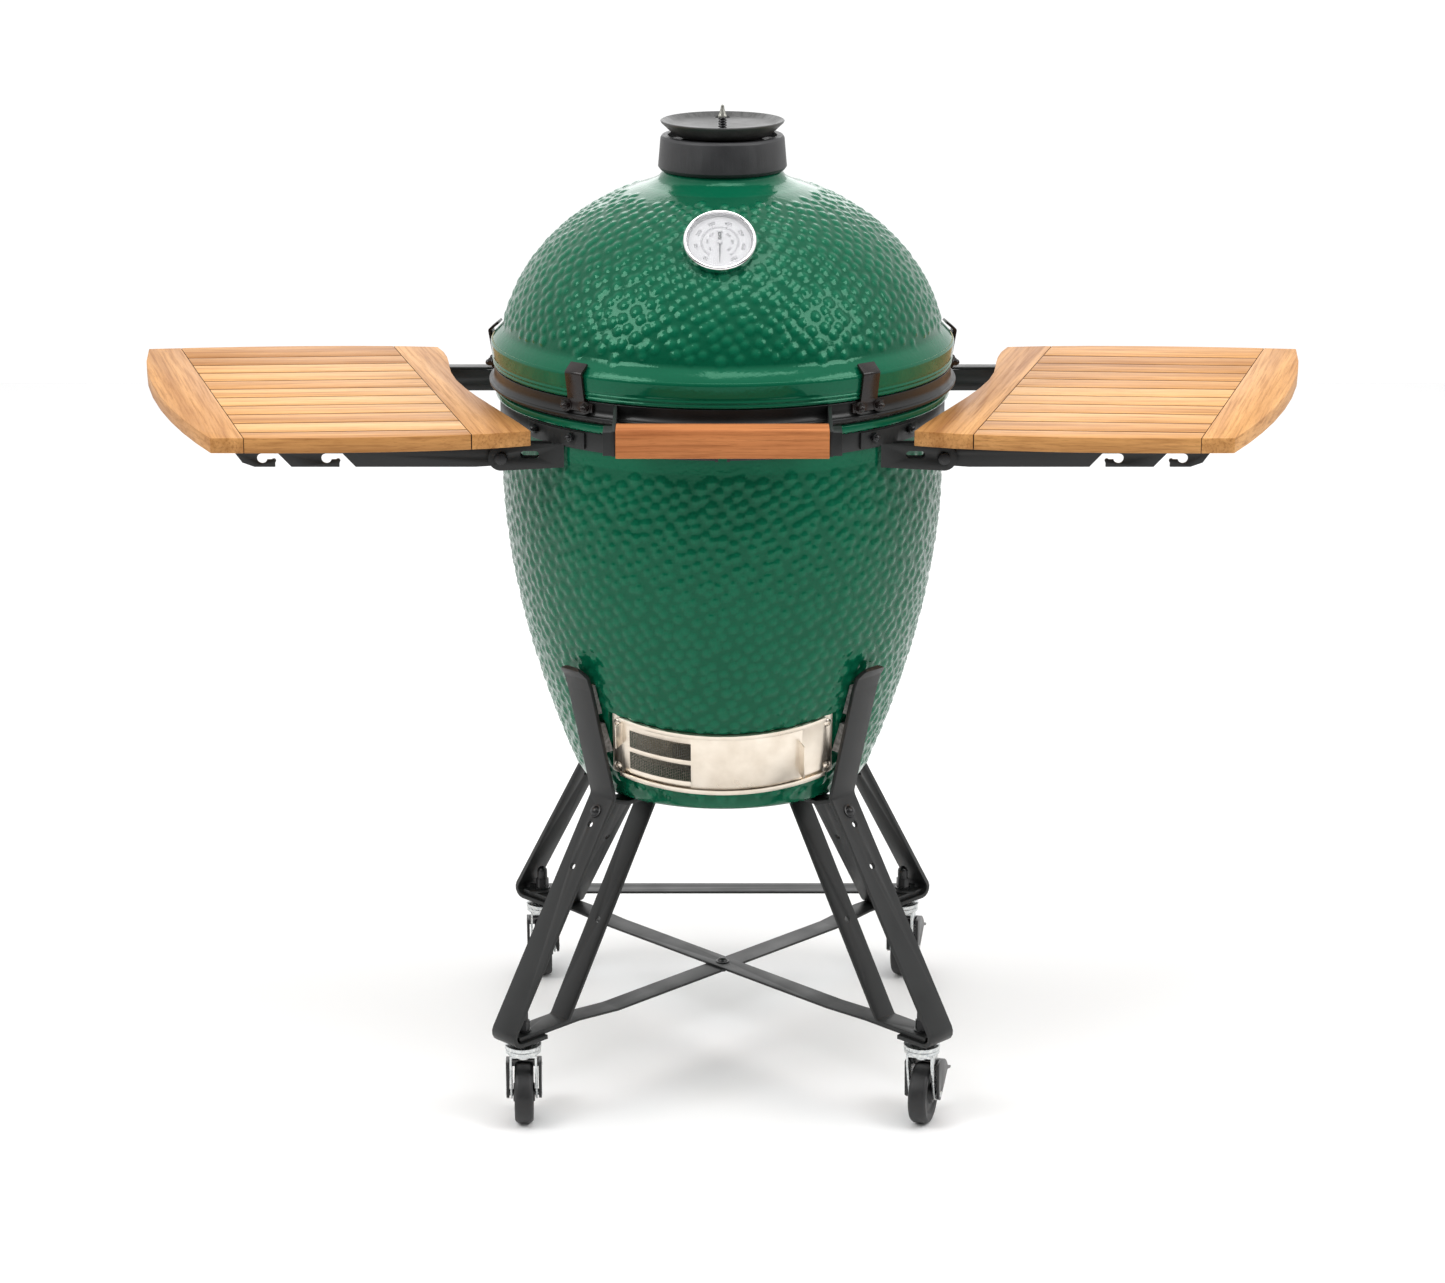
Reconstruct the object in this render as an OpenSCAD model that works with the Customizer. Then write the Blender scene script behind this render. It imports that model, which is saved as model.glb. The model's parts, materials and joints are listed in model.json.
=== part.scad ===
// Kamado ceramic grill on a four-legged stand with casters.
// +Z is up. The origin is on the floor, on the axis of the ceramic body.
// The lid handle faces -Y, and the side shelves reach along X.

/* [Ceramic body] */
// Height of the flat underside of the base
base_z = 380; // [378:1:382]
// Height of the joint between the base and the dome
rim_z = 875; // [874:0.5:876]
// Largest outer radius of the base
base_r = 266.5; // [265.5:0.1:266.5]
// Outer radius of the dome's skirt at its crease
skirt_r = 280; // [279.5:0.1:280]
// Thickness of the ceramic wall
wall = 24; // [22:0.5:25]

/* [Vent cap] */
// Outer radius of the cap's collar
cap_r = 77; // [76:0.5:80]
// Radius of the vent disc
vent_r = 74; // [72:0.5:75]

/* [Thermometer] */
// Radius of the thermometer's case
gauge_r = 42; // [40:0.5:44]
// Tilt of the thermometer's face from horizontal
gauge_tilt = 44.2; // [43:0.1:46]

/* [Shelves] */
// Height of the shelves' upper face
shelf_z = 860; // [859:0.5:860]
// Thickness of the shelf boards
board_t = 18; // [16:0.5:18]
// Slats in each shelf
slats = 11; // [9:1:13]
// Gap between neighbouring slats
slat_gap = 2.5; // [1:0.5:4]

/* [Stand] */
// Distance of each caster's stem from the centre lines
stem_xy = 241.4; // [240:0.1:242]
// Width of the leg strips
leg_w = 40; // [36:1:42]
// Width of the inner struts
strut_w = 32; // [28:1:34]
// Radius of the caster wheels
wheel_r = 37.5; // [36:0.5:38]
// Trail of the wheel axle behind the caster's stem
trail = 12; // [10:1:14]

/* [Hidden] */
$fn = 72;

glaze = "#256b50";
black_coat = "#343635";
steel = "#c9c4ba";
zinc = "#b9c0c4";
oak = "#dca56a";
clay = "#c9b79c";
felt = "#8a8780";

// Corners in the order front left, front right, rear left, rear right
corner_angle = [225, 315, 135, 45];
swivel_angle = [2, -17, 4, -14];

// --- Outlines -------------------------------------------------------------

function unit(v) = v / norm(v);
function perp(v) = [-v[1], v[0]];
function bezier(p, n) = [for (i = [0 : n]) let(t = i / n, s = 1 - t)
    s * s * s * p[0] + 3 * s * s * t * p[1] + 3 * s * t * t * p[2] + t * t * t * p[3]];
function arc(c, r, a0, a1, n) = [for (i = [0 : n]) c + r * [cos(a0 + (a1 - a0) * i / n), sin(a0 + (a1 - a0) * i / n)]];

// Arc of radius r that rounds corner b between a and c
function fillet(a, b, c, r, n = 5) =
    let(u = unit(a - b), v = unit(c - b), half = acos(u * v) / 2,
        m = b + unit(u + v) * r / sin(half),
        p = b + u * r / tan(half) - m, q = b + v * r / tan(half) - m,
        start = atan2(p[1], p[0]), sweep = atan2(q[1], q[0]) - start,
        turn = sweep > 180 ? sweep - 360 : (sweep < -180 ? sweep + 360 : sweep))
    arc(m, r, start, start + turn, n);
function rounded(path, r) = concat([path[0]],
    [for (i = [1 : len(path) - 2]) each fillet(path[i - 1], path[i], path[i + 1], r)],
    [path[len(path) - 1]]);

// Outline of a strip of thickness t along a path, mitred at every point
function miter(path, i) =
    let(last = len(path) - 1,
        after = unit(path[min(i + 1, last)] - path[min(i, last - 1)]),
        before = unit(path[max(i, 1)] - path[max(i - 1, 0)]),
        n = perp(unit(before + after)))
    n / (n * perp(before));
function strip_outline(path, t) = concat(
    [for (i = [0 : len(path) - 1]) path[i] + miter(path, i) * t / 2],
    [for (i = [len(path) - 1 : -1 : 0]) path[i] - miter(path, i) * t / 2]);

// Strip of steel bent along a path of [radius, height] points
module strip(path, t, w) rotate([90, 0, 0]) linear_extrude(w, center = true) polygon(strip_outline(path, t));

// Ring with a rectangular section, and the same over an angle centred on -Y
module ring(r1, r2, z1, z2) rotate_extrude() translate([r1, z1]) square([r2 - r1, z2 - z1]);
module patch(r1, r2, z1, z2, a1, a2)
    rotate([0, 0, a1 - 90]) rotate_extrude(angle = a2 - a1) translate([r1, z1]) square([r2 - r1, z2 - z1]);
module rod(p, q, r) {
    d = q - p;
    translate(p) rotate([0, acos(d[2] / norm(d)), atan2(d[1], d[0])]) cylinder(h = norm(d), r = r);
}

// --- Stand ----------------------------------------------------------------

leg_t = 5;
strut_t = 4;
brace_t = 3;
foot_z = 112;
stem_r = stem_xy * sqrt(2);
knee = [204, 391];
foot_corner = [380, foot_z + leg_t / 2];
leg_top = [255, 563];
leg_round = 13;
leg_path = rounded([[319, foot_corner[1]], foot_corner, knee, [240, 535], [246, 552], leg_top], 11);
leg_dir = unit(foot_corner - knee);
leg_tilt = atan2(leg_dir[0], leg_dir[1]);
strut_foot_z = foot_z + leg_t + brace_t + strut_t / 2;
strut_foot = [281, strut_foot_z];
strut_top = [130, base_z - leg_t - strut_t / 2];
strut_path = rounded([[361, strut_foot_z], strut_foot, strut_top, [88, strut_top[1]]], 7);
strut_dir = unit(strut_top - strut_foot);
knee_bolt = 22;
leg_holes = [39, 94];
brace_z = foot_z + leg_t + brace_t / 2;
cradle_z = base_z - leg_t / 2;
stack_z = foot_z + leg_t + brace_t + strut_t;

// Places a hole or bolt across the sloping part of a leg, s below the knee
module on_leg(s) translate([knee[0] + s * leg_dir[0], 0, knee[1] + s * leg_dir[1]])
    rotate([0, leg_tilt - 90, 0]) children();

module leg(corner) {
    color(black_coat) rotate([0, 0, corner_angle[corner]]) difference() {
        strip(leg_path, leg_t, leg_w);
        translate([stem_r, 0, foot_z - 1]) cylinder(h = leg_t + 2, r = 5.1);
        on_leg(knee_bolt) cylinder(h = 20, r = 4.1, center = true);
        for (s = leg_holes) on_leg(s) cylinder(h = 20, r = 4, center = true);
        for (side = [0, 1]) mirror([0, side, 0]) leg_corner();
    }
}

// What rounds off one top corner of a leg
module leg_corner()
    translate([leg_top[0] - 20, leg_w / 2 - leg_round, leg_top[1] + 1.5 - leg_round])
        rotate([90, 0, 90]) linear_extrude(30) difference() {
            square(leg_round + 5);
            circle(leg_round);
        }

module inner_struts() {
    hole = strut_foot + 128.6 * strut_dir;
    color(black_coat) for (a = corner_angle) rotate([0, 0, a]) difference() {
        strip(strut_path, strut_t, strut_w);
        translate([stem_r, 0, foot_z]) cylinder(h = 20, r = 5.1);
        translate([hole[0], 0, hole[1]]) rotate([0, atan2(strut_dir[1], -strut_dir[0]), 0])
            cylinder(h = 20, r = 4, center = true);
        translate([104, 0, strut_top[1]]) cylinder(h = 20, r = 4.1, center = true);
    }
}

// The lower bar dips under the upper one where they cross
module cradle_bar(angle, dip) {
    tab = knee - (leg_t + 0.2) * perp(leg_dir);
    low = cradle_z - dip;
    start = dip > 0 ? [[0, low], [26, low], [36, cradle_z]] : [[0, low]];
    half = rounded(concat(start, [[176, cradle_z], tab + 3 * leg_dir, tab + 34 * leg_dir]), 3);
    path = concat([for (i = [len(half) - 1 : -1 : 1]) [-half[i][0], half[i][1]]], half);
    rotate([0, 0, angle]) difference() {
        strip(path, leg_t, 30);
        for (side = [0, 180]) rotate([0, 0, side]) {
            translate([104, 0, cradle_z]) cylinder(h = 20, r = 4.1, center = true);
            on_leg(knee_bolt) cylinder(h = 30, r = 4.1, center = true);
        }
    }
}

module cradle_bars() {
    color(black_coat) {
        cradle_bar(45, 0);
        cradle_bar(135, leg_t);
    }
}

brace_drop = 6;
module cross_brace(angle, lift) {
    half = rounded([[0, brace_z - brace_drop + lift], [196, brace_z - brace_drop + lift],
        [262, brace_z], [359, brace_z]], 20);
    path = concat([for (i = [len(half) - 1 : -1 : 1]) [-half[i][0], half[i][1]]], half);
    rotate([0, 0, angle]) difference() {
        strip(path, brace_t, 30);
        for (x = [-stem_r, stem_r]) translate([x, 0, foot_z]) cylinder(h = 20, r = 5.1);
        translate([0, 0, foot_z - 10]) cylinder(h = 30, r = 4.1);
    }
}

module cross_braces() {
    color(black_coat) {
        cross_brace(45, 0);
        cross_brace(135, brace_t);
    }
}

module rear_stretcher() {
    color(black_coat) difference() {
        translate([-stem_xy - 17, stem_xy - 16, stack_z]) cube([2 * stem_xy + 34, 32, brace_t]);
        for (x = [-stem_xy, stem_xy]) translate([x, stem_xy, stack_z - 1]) cylinder(h = brace_t + 2, r = 5.1);
    }
}

module bolt(grip, head_r = 6.5) {
    translate([0, 0, -grip - 7]) cylinder(h = grip + 7, r = 4);
    translate([0, 0, -grip - 6]) cylinder(h = 6, r = head_r, $fn = 6);
    cylinder(h = 1.2, r = head_r + 2);
    translate([0, 0, 1.2]) rotate_extrude() intersection() {
        translate([0, -head_r * 0.5]) circle(head_r * 1.15);
        square([head_r, head_r]);
    }
}

module frame_bolts() {
    color("#1c1d1d") {
        for (a = corner_angle) rotate([0, 0, a]) {
            on_leg(knee_bolt) translate([0, 0, leg_t / 2]) bolt(2 * leg_t + 0.2);
            translate([104, 0, strut_top[1] - strut_t / 2]) rotate([180, 0, 0]) {
                translate([0, 0, -leg_t - strut_t]) cylinder(h = leg_t + strut_t, r = 4);
                cylinder(h = 5, r = 6.5, $fn = 6);
            }
        }
        translate([0, 0, brace_z - brace_drop + 1.5 * brace_t]) bolt(2 * brace_t);
    }
}

// Pads between the ceramic and the legs
module leg_pads() {
    leg_up = unit([245, 555] - knee);
    color(felt) for (a = corner_angle, z = [452, 503]) rotate([0, 0, a])
        rotate([90, 0, 0]) linear_extrude(leg_w - 4, center = true)
            polygon([pad_point(z, leg_up), pad_point(z + 38, leg_up),
                [base_r_at(z + 38) + 1, z + 38], [base_r_at(z) + 1, z]]);
}
function pad_point(z, up) = [knee[0] + (z - knee[1]) * up[0] / up[1] - leg_t / 2 / up[1], z];

// --- Casters --------------------------------------------------------------

axle_r = 4;
pin_r = 5;
module at_corner(corner) {
    a = corner_angle[corner];
    translate([stem_r * cos(a), stem_r * sin(a), 0]) rotate([0, 0, swivel_angle[corner]]) children();
}

module caster_stems() {
    color(zinc) for (corner = [0 : 3]) at_corner(corner) {
        translate([0, 0, 88]) cylinder(h = stack_z + 18 - 88, r = pin_r);
        translate([0, 0, 88]) cylinder(h = 2.4, r = 8);
        ring(pin_r - 1, 9, 104, foot_z);
        ring(pin_r - 1, 22, 102, 107);
    }
}

module caster_nuts() {
    color("#1c1d1d") for (corner = [0 : 3]) at_corner(corner) {
        base = corner < 2 ? stack_z : stack_z + brace_t;
        translate([0, 0, base]) ring(pin_r, 10, 0, 1.6);
        translate([0, 0, base + 1.6]) difference() {
            union() {
                cylinder(h = 12, r = 8.4, $fn = 6);
                cylinder(h = 22, r = 6.6);
                translate([0, 0, 22]) sphere(6.6);
            }
            translate([0, 0, -1]) cylinder(h = 20, r = pin_r);
        }
    }
}

module fork(corner) {
    axle = [trail, wheel_r];
    color(zinc) at_corner(corner) difference() {
        union() {
            translate([0, 0, 94]) cylinder(h = 3, r = 17);
            ring(0, 21.5, 97, 101.4);
            translate([0, 0, 97]) cylinder(h = 3, r = 17);
            translate([-16.5, -12, 92]) cube([33, 24, 3]);
            for (x = [-16.5, 14]) translate([x, 0, 0]) rotate([90, 0, 90]) linear_extrude(2.5)
                polygon([[-12, 95], [12, 95], [axle[0] + 8, axle[1] + 4], [axle[0] + 8, axle[1] - 4],
                    [axle[0], axle[1] - 8.5], [axle[0] - 8, axle[1] - 4], [-12, 82]]);
            translate([-22, axle[0], axle[1]]) rotate([0, 90, 0]) cylinder(h = 44, r = axle_r);
        }
        translate([0, 0, 80]) cylinder(h = 30, r = pin_r + 0.05);
    }
}

module wheel(corner) {
    flank = [[axle_r + 0.05, 13], [11, 13], [13, 9], [24, 8], [27, 10.5], [33, 11]];
    tread = arc([32, 6], 5.5, 70, 0, 4);
    half = concat(flank, tread);
    color("#3a3a3b") at_corner(corner) translate([0, trail, wheel_r]) rotate([0, 90, 0]) rotate_extrude()
        polygon(concat(half, [for (i = [len(half) - 1 : -1 : 0]) [half[i][0], -half[i][1]]]));
}

// Pedal that clips over the fork and swings on the axle's ends
module brake(corner) {
    color("#151515") at_corner(corner) translate([0, trail, wheel_r]) difference() {
        union() {
            for (x = [-21.5, 18]) translate([x, 0, 0]) rotate([90, 0, 90]) linear_extrude(3.5)
                polygon(concat([[-8, -3], [0, -8], [8, -3]], arc([0, 0], 43.5, 28, 104, 8)));
            rotate([90, 0, 90]) linear_extrude(43, center = true)
                polygon(concat(arc([0, 0], 43.5, 28, 84, 8), arc([0, 0], 40.2, 84, 28, 8)));
            rotate([90, 0, 90]) linear_extrude(43, center = true)
                polygon([[35.4, 18.8], [38.3, 20.5], [52, 17], [51, 14]]);
        }
        rotate([0, 90, 0]) cylinder(h = 60, r = axle_r + 0.05, center = true);
    }
}

// --- Ceramic base ---------------------------------------------------------

belly_z = rim_z - 115;
base_steps = 12;
function base_r_at(z) = base_r * pow(1 - pow(max(0, belly_z - z) / 647, 1.724), 0.833);

base_top = rim_z - 3;
band_top = rim_z - 15;
band_low = rim_z - 37;

function base_outline(grow) = concat([[0, base_z - grow]],
    arc([162, base_z + 18], 18 + grow, -90, -12, 4),
    [for (i = [1 : base_steps]) let(z = base_z + 18 + (belly_z - base_z - 18) * i / base_steps)
        [base_r_at(z) + grow, z]],
    [[base_r + grow, band_top], [base_r + 5 + grow, band_top + 1], [base_r + 8.5, band_top + 4],
        [base_r + 8.5, base_top - 2], [base_r + 6.5, base_top], [0, base_top]]);
module base_solid(grow) rotate_extrude() polygon(base_outline(grow));

inner_floor = base_z + 26;
base_mouth = base_r - wall - 4;
module base_hollow() rotate_extrude() polygon(concat([[0, inner_floor], [140, inner_floor]],
    [for (i = [0 : 8]) let(z = inner_floor + 16 + (belly_z - inner_floor - 16) * i / 8)
        [min(base_r_at(z) - wall, base_mouth), z]],
    [[base_mouth, base_top + 1], [0, base_top + 1]]));

module base_shell() {
    color(glaze) difference() {
        base_solid(0);
        base_hollow();
        draft_place() {
            patch(150, 260, -33, 33, -33, 33);
            patch(door_r - 0.3, 260, -45, 45, -38.5, 38.5);
            draft_screw_places() cylinder(h = 40, r = 2.5, center = true);
        }
    }
}

module base_gasket() color(felt) ring(base_mouth + 3, base_r + 2, base_top, base_top + 2.6);

module base_band() {
    ear_r = base_r + 22;
    color(black_coat) difference() {
        union() {
            ring(base_r + 0.3, base_r + 3.3, band_low, band_top);
            for (x = [-8.5, 5]) translate([x, -ear_r, band_low + 3]) cube([3.5, 22, 16]);
        }
        translate([-5, -ear_r - 1, band_low - 1]) cube([10, 40, 30]);
        translate([0, -ear_r + 8, band_low + 11]) rotate([0, 90, 0]) cylinder(h = 40, r = 3.1, center = true);
        bracket_bolt_places() cylinder(h = 12, r = 3.1, center = true);
    }
}

module bracket_bolt_places() {
    for (side = [0, 1]) mirror([side, 0, 0]) for (a = bracket_bolt_angles)
        rotate([0, 0, a]) translate([base_r + 2, 0, band_low + 14]) rotate([0, 90, 0]) children();
}

// Closing bolt of the band and the bolts of the shelf brackets
module band_bolts() {
    color("#1c1d1d") {
        translate([0, -base_r - 14, band_low + 11]) rotate([0, 90, 0]) {
            cylinder(h = 34, r = 3, center = true);
            for (z = [-13.5, 8.5]) translate([0, 0, z]) cylinder(h = 5, r = 6, $fn = 6);
        }
        bracket_bolt_places() {
            cylinder(h = 5, r = 3);
            translate([0, 0, 4.6]) cylinder(h = 5, r = 5.5, $fn = 6);
            translate([0, 0, 9.6]) sphere(3.6);
        }
    }
}

module fire_box() {
    low = inner_floor;
    color(clay) difference() {
        rotate_extrude() polygon([[118, low], [140, low], [150, low + 40], [196, low + 245], [196, low + 250],
            [174, low + 250], [130, low + 76], [104, low + 76], [104, low + 58], [118, low + 50]]);
        translate([-62, -220, low - 1]) cube([124, 120, 50]);
        for (a = [0 : 45 : 315]) rotate([0, 0, a]) translate([120, 0, low + 170]) rotate([0, 90, 0])
            cylinder(h = 90, r = 9);
    }
}

module fire_ring() {
    low = inner_floor + 250;
    color(clay) rotate_extrude() polygon([[176, low], [200, low], [226, low + 45], [230, low + 134],
        [208, low + 134], [204, low + 48]]);
}

module fire_grate() {
    z = inner_floor + 76;
    color("#4a4a48") difference() {
        translate([0, 0, z]) cylinder(h = 9, r = 124);
        for (i = [-4 : 4]) let(half = sqrt(108 * 108 - pow(i * 22, 2)))
            translate([i * 22 - 5, -half, z - 1]) cube([10, 2 * half, 11]);
    }
    color("#4a4a48") translate([-112, -5, z]) cube([224, 10, 9]);
}

grid_z = inner_floor + 384;
module cooking_grid() {
    color(steel) {
        ring(221, 228, grid_z, grid_z + 6);
        for (y = [-110, 110]) rod([-195, y, grid_z + 4], [195, y, grid_z + 4], 3);
        for (i = [-13 : 13]) let(half = sqrt(224 * 224 - pow(i * 16.4, 2)))
            rod([i * 16.4, -half, grid_z + 8], [i * 16.4, half, grid_z + 8], 3);
    }
}

// --- Draft door: a rolled panel about a tilted axis -----------------------

draft_tilt = 19.5;
draft_z = 522;
door_r = 213.5;
module draft_place() translate([0, 0, draft_z]) rotate([draft_tilt, 0, 0]) children();
module draft_screw_places() for (a = [-35.8, 35.8], z = [-33, 31])
    rotate([0, 0, a]) translate([0, -door_r, z]) rotate([90, 0, 0]) children();

module draft_frame() {
    color(steel) draft_place() difference() {
        union() {
            patch(door_r, door_r + 1.5, -44, 44, -37.8, 37.8);
            for (side = [-1, 1]) {
                web = side * 43.4;
                patch(door_r, door_r + 6.2, web - 0.6, web + 0.6, -34.3, 34.3);
                lip = side * 41;
                patch(door_r + 5, door_r + 6.2, lip - 3, lip + 3, -34.3, 34.3);
            }
        }
        patch(door_r - 2, door_r + 3, -32, 32, -32, -3);
        draft_screw_places() cylinder(h = 20, r = 2.6, center = true);
    }
}

module draft_screws() {
    color(steel) draft_place() draft_screw_places() {
        translate([0, 0, -12]) cylinder(h = 13.5, r = 2.5);
        translate([0, 0, 1.5]) difference() {
            rotate_extrude() intersection() {
                translate([0, -4.6]) circle(7);
                square([5.4, 4]);
            }
            for (turn = [0, 90]) rotate([0, 0, turn]) translate([-3, -0.5, 1.4]) cube([6, 1, 3]);
        }
    }
}

screen_r = door_r + 1.9;
windows = [[-29, -4], [3, 28]];
module screen_door() {
    color(steel) draft_place() {
        difference() {
            patch(screen_r, screen_r + 1, -42.5, 42.5, -34, -8);
            for (w = windows) patch(screen_r - 1, screen_r + 2, w[0], w[1], -31, -10);
        }
        patch(screen_r, screen_r + 14, 4, 36, -34, -33.7);
    }
}

module screen_mesh() {
    color("#6e6c5f") draft_place() for (w = windows)
        patch(screen_r + 0.2, screen_r + 0.8, w[0], w[1], -31, -10);
}

solid_r = door_r + 3.3;
module draft_door() {
    color(steel) draft_place() {
        patch(solid_r, solid_r + 1, -42.5, 42.5, -10, 26);
        patch(solid_r, solid_r + 14, -28, 20, 25, 25.3);
    }
}

// --- Shelves --------------------------------------------------------------

shelf_bottom = shelf_z - board_t;
pivot = [258, rim_z - 51];
arm_t = 4;
front_arm_y = -190;
rear_arm_y = 224;
arm_low = rim_z - 63;
arm_end = 568;
skew = -3.4;

function shelf_front() = bezier([[222, -213], [300, -246], [470, -254], [588, -250]], 6);
function shelf_outer() = bezier([[588, -250], [650, -130], [722, 60], [737, 252]], 8);
function shelf_back() = bezier([[737, 252], [620, 270], [450, 280], [367, 265]], 6);
function shelf_inner() = concat(bezier([[367, 265], [346, 215], [346, 160], [338, 110]], 5),
    bezier([[338, 110], [322, 10], [258, -110], [222, -213]], 7));
module shelf_outline() polygon(concat(shelf_front(), shelf_outer(), shelf_back(), shelf_inner()));

inner_joint = [[281, -262], [430, 290]];
outer_joint = [[546, -262], [703, 280]];
module left_of(joint, shift) polygon([[100, -400], [joint[0][0] + shift, -400], joint[0] + [shift, 0],
    joint[1] + [shift, 0], [joint[1][0] + shift, 400], [100, 400]]);

module shelf_boards() {
    pitch = 518 / slats;
    color(oak) translate([0, 0, shelf_bottom]) {
        linear_extrude(board_t) intersection() {
            shelf_outline();
            left_of(inner_joint, -0.4);
        }
        linear_extrude(board_t) difference() {
            shelf_outline();
            left_of(outer_joint, 0.4);
        }
        linear_extrude(board_t) intersection() {
            shelf_outline();
            difference() {
                left_of(outer_joint, 0);
                left_of(inner_joint, 0);
            }
            for (i = [0 : slats - 1]) translate([500, -236 + pitch * (i - 0.6)]) rotate(skew)
                translate([-300, i == 0 ? -40 : 0])
                    square([600, pitch - slat_gap + (i == 0 ? 40 : (i == slats - 1 ? 40 : 0))]);
        }
    }
}

// Hook that a tool's ring slips into from below
module tool_hook(x) translate([x, arm_low + 10]) {
    circle(6);
    difference() {
        polygon([[0, 6], [-19, 6], [-35, -11], [-15, -11], [-15, -1.5], [0, -1.5]]);
        translate([-13.5, -3]) circle(2.6);
    }
}

module shelf_arm(y, hooks) {
    translate([0, y + arm_t / 2, 0]) rotate([90, 0, 0]) linear_extrude(arm_t) difference() {
        union() {
            translate(pivot) circle(14);
            polygon([[pivot[0], arm_low + 2], [pivot[0] + 30, arm_low], [arm_end - 22, arm_low],
                [arm_end - 8, arm_low + 5], [arm_end, arm_low + 16], [arm_end, shelf_bottom],
                [pivot[0], shelf_bottom - 4]]);
        }
        translate(pivot) circle(axle_r + 0.05);
        for (x = hooks) tool_hook(x);
    }
    translate([pivot[0] + 28, y, shelf_bottom - 3]) cube([arm_end - pivot[0] - 34, 18, 3]);
}

module shelf_arms() {
    color(black_coat) {
        shelf_arm(front_arm_y, [537, 462]);
        shelf_arm(rear_arm_y, []);
    }
}

// Folded channels on the base band, one pair of cheeks per shelf arm
bracket_bolt_angles = [-50, -37, 47, 59];
cheek_top = shelf_bottom - 1;
module cheek(y, x0) {
    difference() {
        translate([0, y + 1.5, 0]) rotate([90, 0, 0]) linear_extrude(3) difference() {
            union() {
                translate(pivot) circle(15);
                polygon([[x0, arm_low + 3], [pivot[0], pivot[1] - 15], [pivot[0] + 15, pivot[1]],
                    [pivot[0] + 5, cheek_top], [x0, cheek_top]]);
            }
            translate(pivot) circle(axle_r);
            for (x = [218, 231]) translate([x, pivot[1] + 4]) circle(4.5);
            translate([218, pivot[1] - 0.5]) square([13, 9]);
        }
        cylinder(h = 2000, r = base_r + 4.8);
    }
}

module bracket(y, a1, a2) {
    root = y < 0 ? 150 : 120;
    cheek(y - 7.5, root);
    cheek(y + 7.5, root);
    rotate([0, 0, a1]) rotate_extrude(angle = a2 - a1) translate([base_r + 3.4, band_low + 2]) square([3, 19]);
}

module shelf_brackets() {
    color(black_coat) difference() {
        for (side = [0, 1]) mirror([side, 0, 0]) {
            bracket(front_arm_y, -54, -33);
            bracket(rear_arm_y, 44, 62);
        }
        bracket_bolt_places() cylinder(h = 12, r = 3.1, center = true);
    }
}

module shelf_pivots() {
    color(zinc) for (side = [0, 1]) mirror([side, 0, 0]) for (y = [front_arm_y, rear_arm_y])
        translate([pivot[0], y, pivot[1]]) rotate([90, 0, 0]) {
            cylinder(h = 24, r = axle_r, center = true);
            for (z = [-14, 9.2]) translate([0, 0, z]) cylinder(h = 4.8, r = 7);
        }
}

// --- Dome -----------------------------------------------------------------

dome_bottom = rim_z + 2.8;
dome_centre = rim_z + 28.4;
lip_z = rim_z + 25;
crease_z = rim_z + 54;
neck_r = 273;
function dome_r_at(z) = 269 * sqrt(1 - pow((z - dome_centre) / 225.3, 2));
dome_outline = concat([[0, dome_bottom], [neck_r, dome_bottom], [neck_r, lip_z - 0.5], [skirt_r - 3.6, lip_z],
    [skirt_r - 2.2, lip_z + 2], [skirt_r - 2.8, lip_z + 4.5], [skirt_r - 1.6, lip_z + 7],
    [skirt_r - 2.2, lip_z + 9], [skirt_r, crease_z - 1.5], [skirt_r - 1, crease_z + 0.5]],
    [for (i = [0 : 12]) let(z = rim_z + 71 + (240.5 - 71) * i / 12) [dome_r_at(z), z]],
    [[79, rim_z + 245], [73.5, rim_z + 250], [71, rim_z + 255.3], [68, rim_z + 256], [68, rim_z + 274],
        [0, rim_z + 274]]);
dome_hollow = concat([[0, dome_bottom - 1], [neck_r - wall - 6, dome_bottom - 1], [neck_r - wall - 5, dome_centre]],
    [for (i = [1 : 9]) let(a = 78 * i / 9) [245 * cos(a), dome_centre + 201 * sin(a)]],
    [[50, dome_centre + 198], [50, rim_z + 275], [0, rim_z + 275]]);

module dome_shell() {
    color(glaze) difference() {
        rotate_extrude() polygon(dome_outline);
        rotate_extrude() polygon(dome_hollow);
        gauge_place() {
            translate([0, 0, -90]) cylinder(h = 120, r = 5);
            translate([0, 0, -17.5]) cylinder(h = 30, r = 9.6);
        }
    }
}

module lid_gasket() color(felt) ring(neck_r - wall - 3, neck_r - 3, rim_z + 0.3, dome_bottom);

band_r = neck_r + 3.4;
module lid_band() {
    top = lip_z - 1.2;
    color(black_coat) rotate_extrude() polygon([[neck_r + 0.2, top], [band_r, top], [band_r, rim_z + 11],
        [skirt_r + 2.5, rim_z + 5.2], [skirt_r + 2.5, rim_z + 2.8], [skirt_r + 0.6, rim_z + 2.8],
        [neck_r + 0.2, rim_z + 9.4]]);
}

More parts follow.
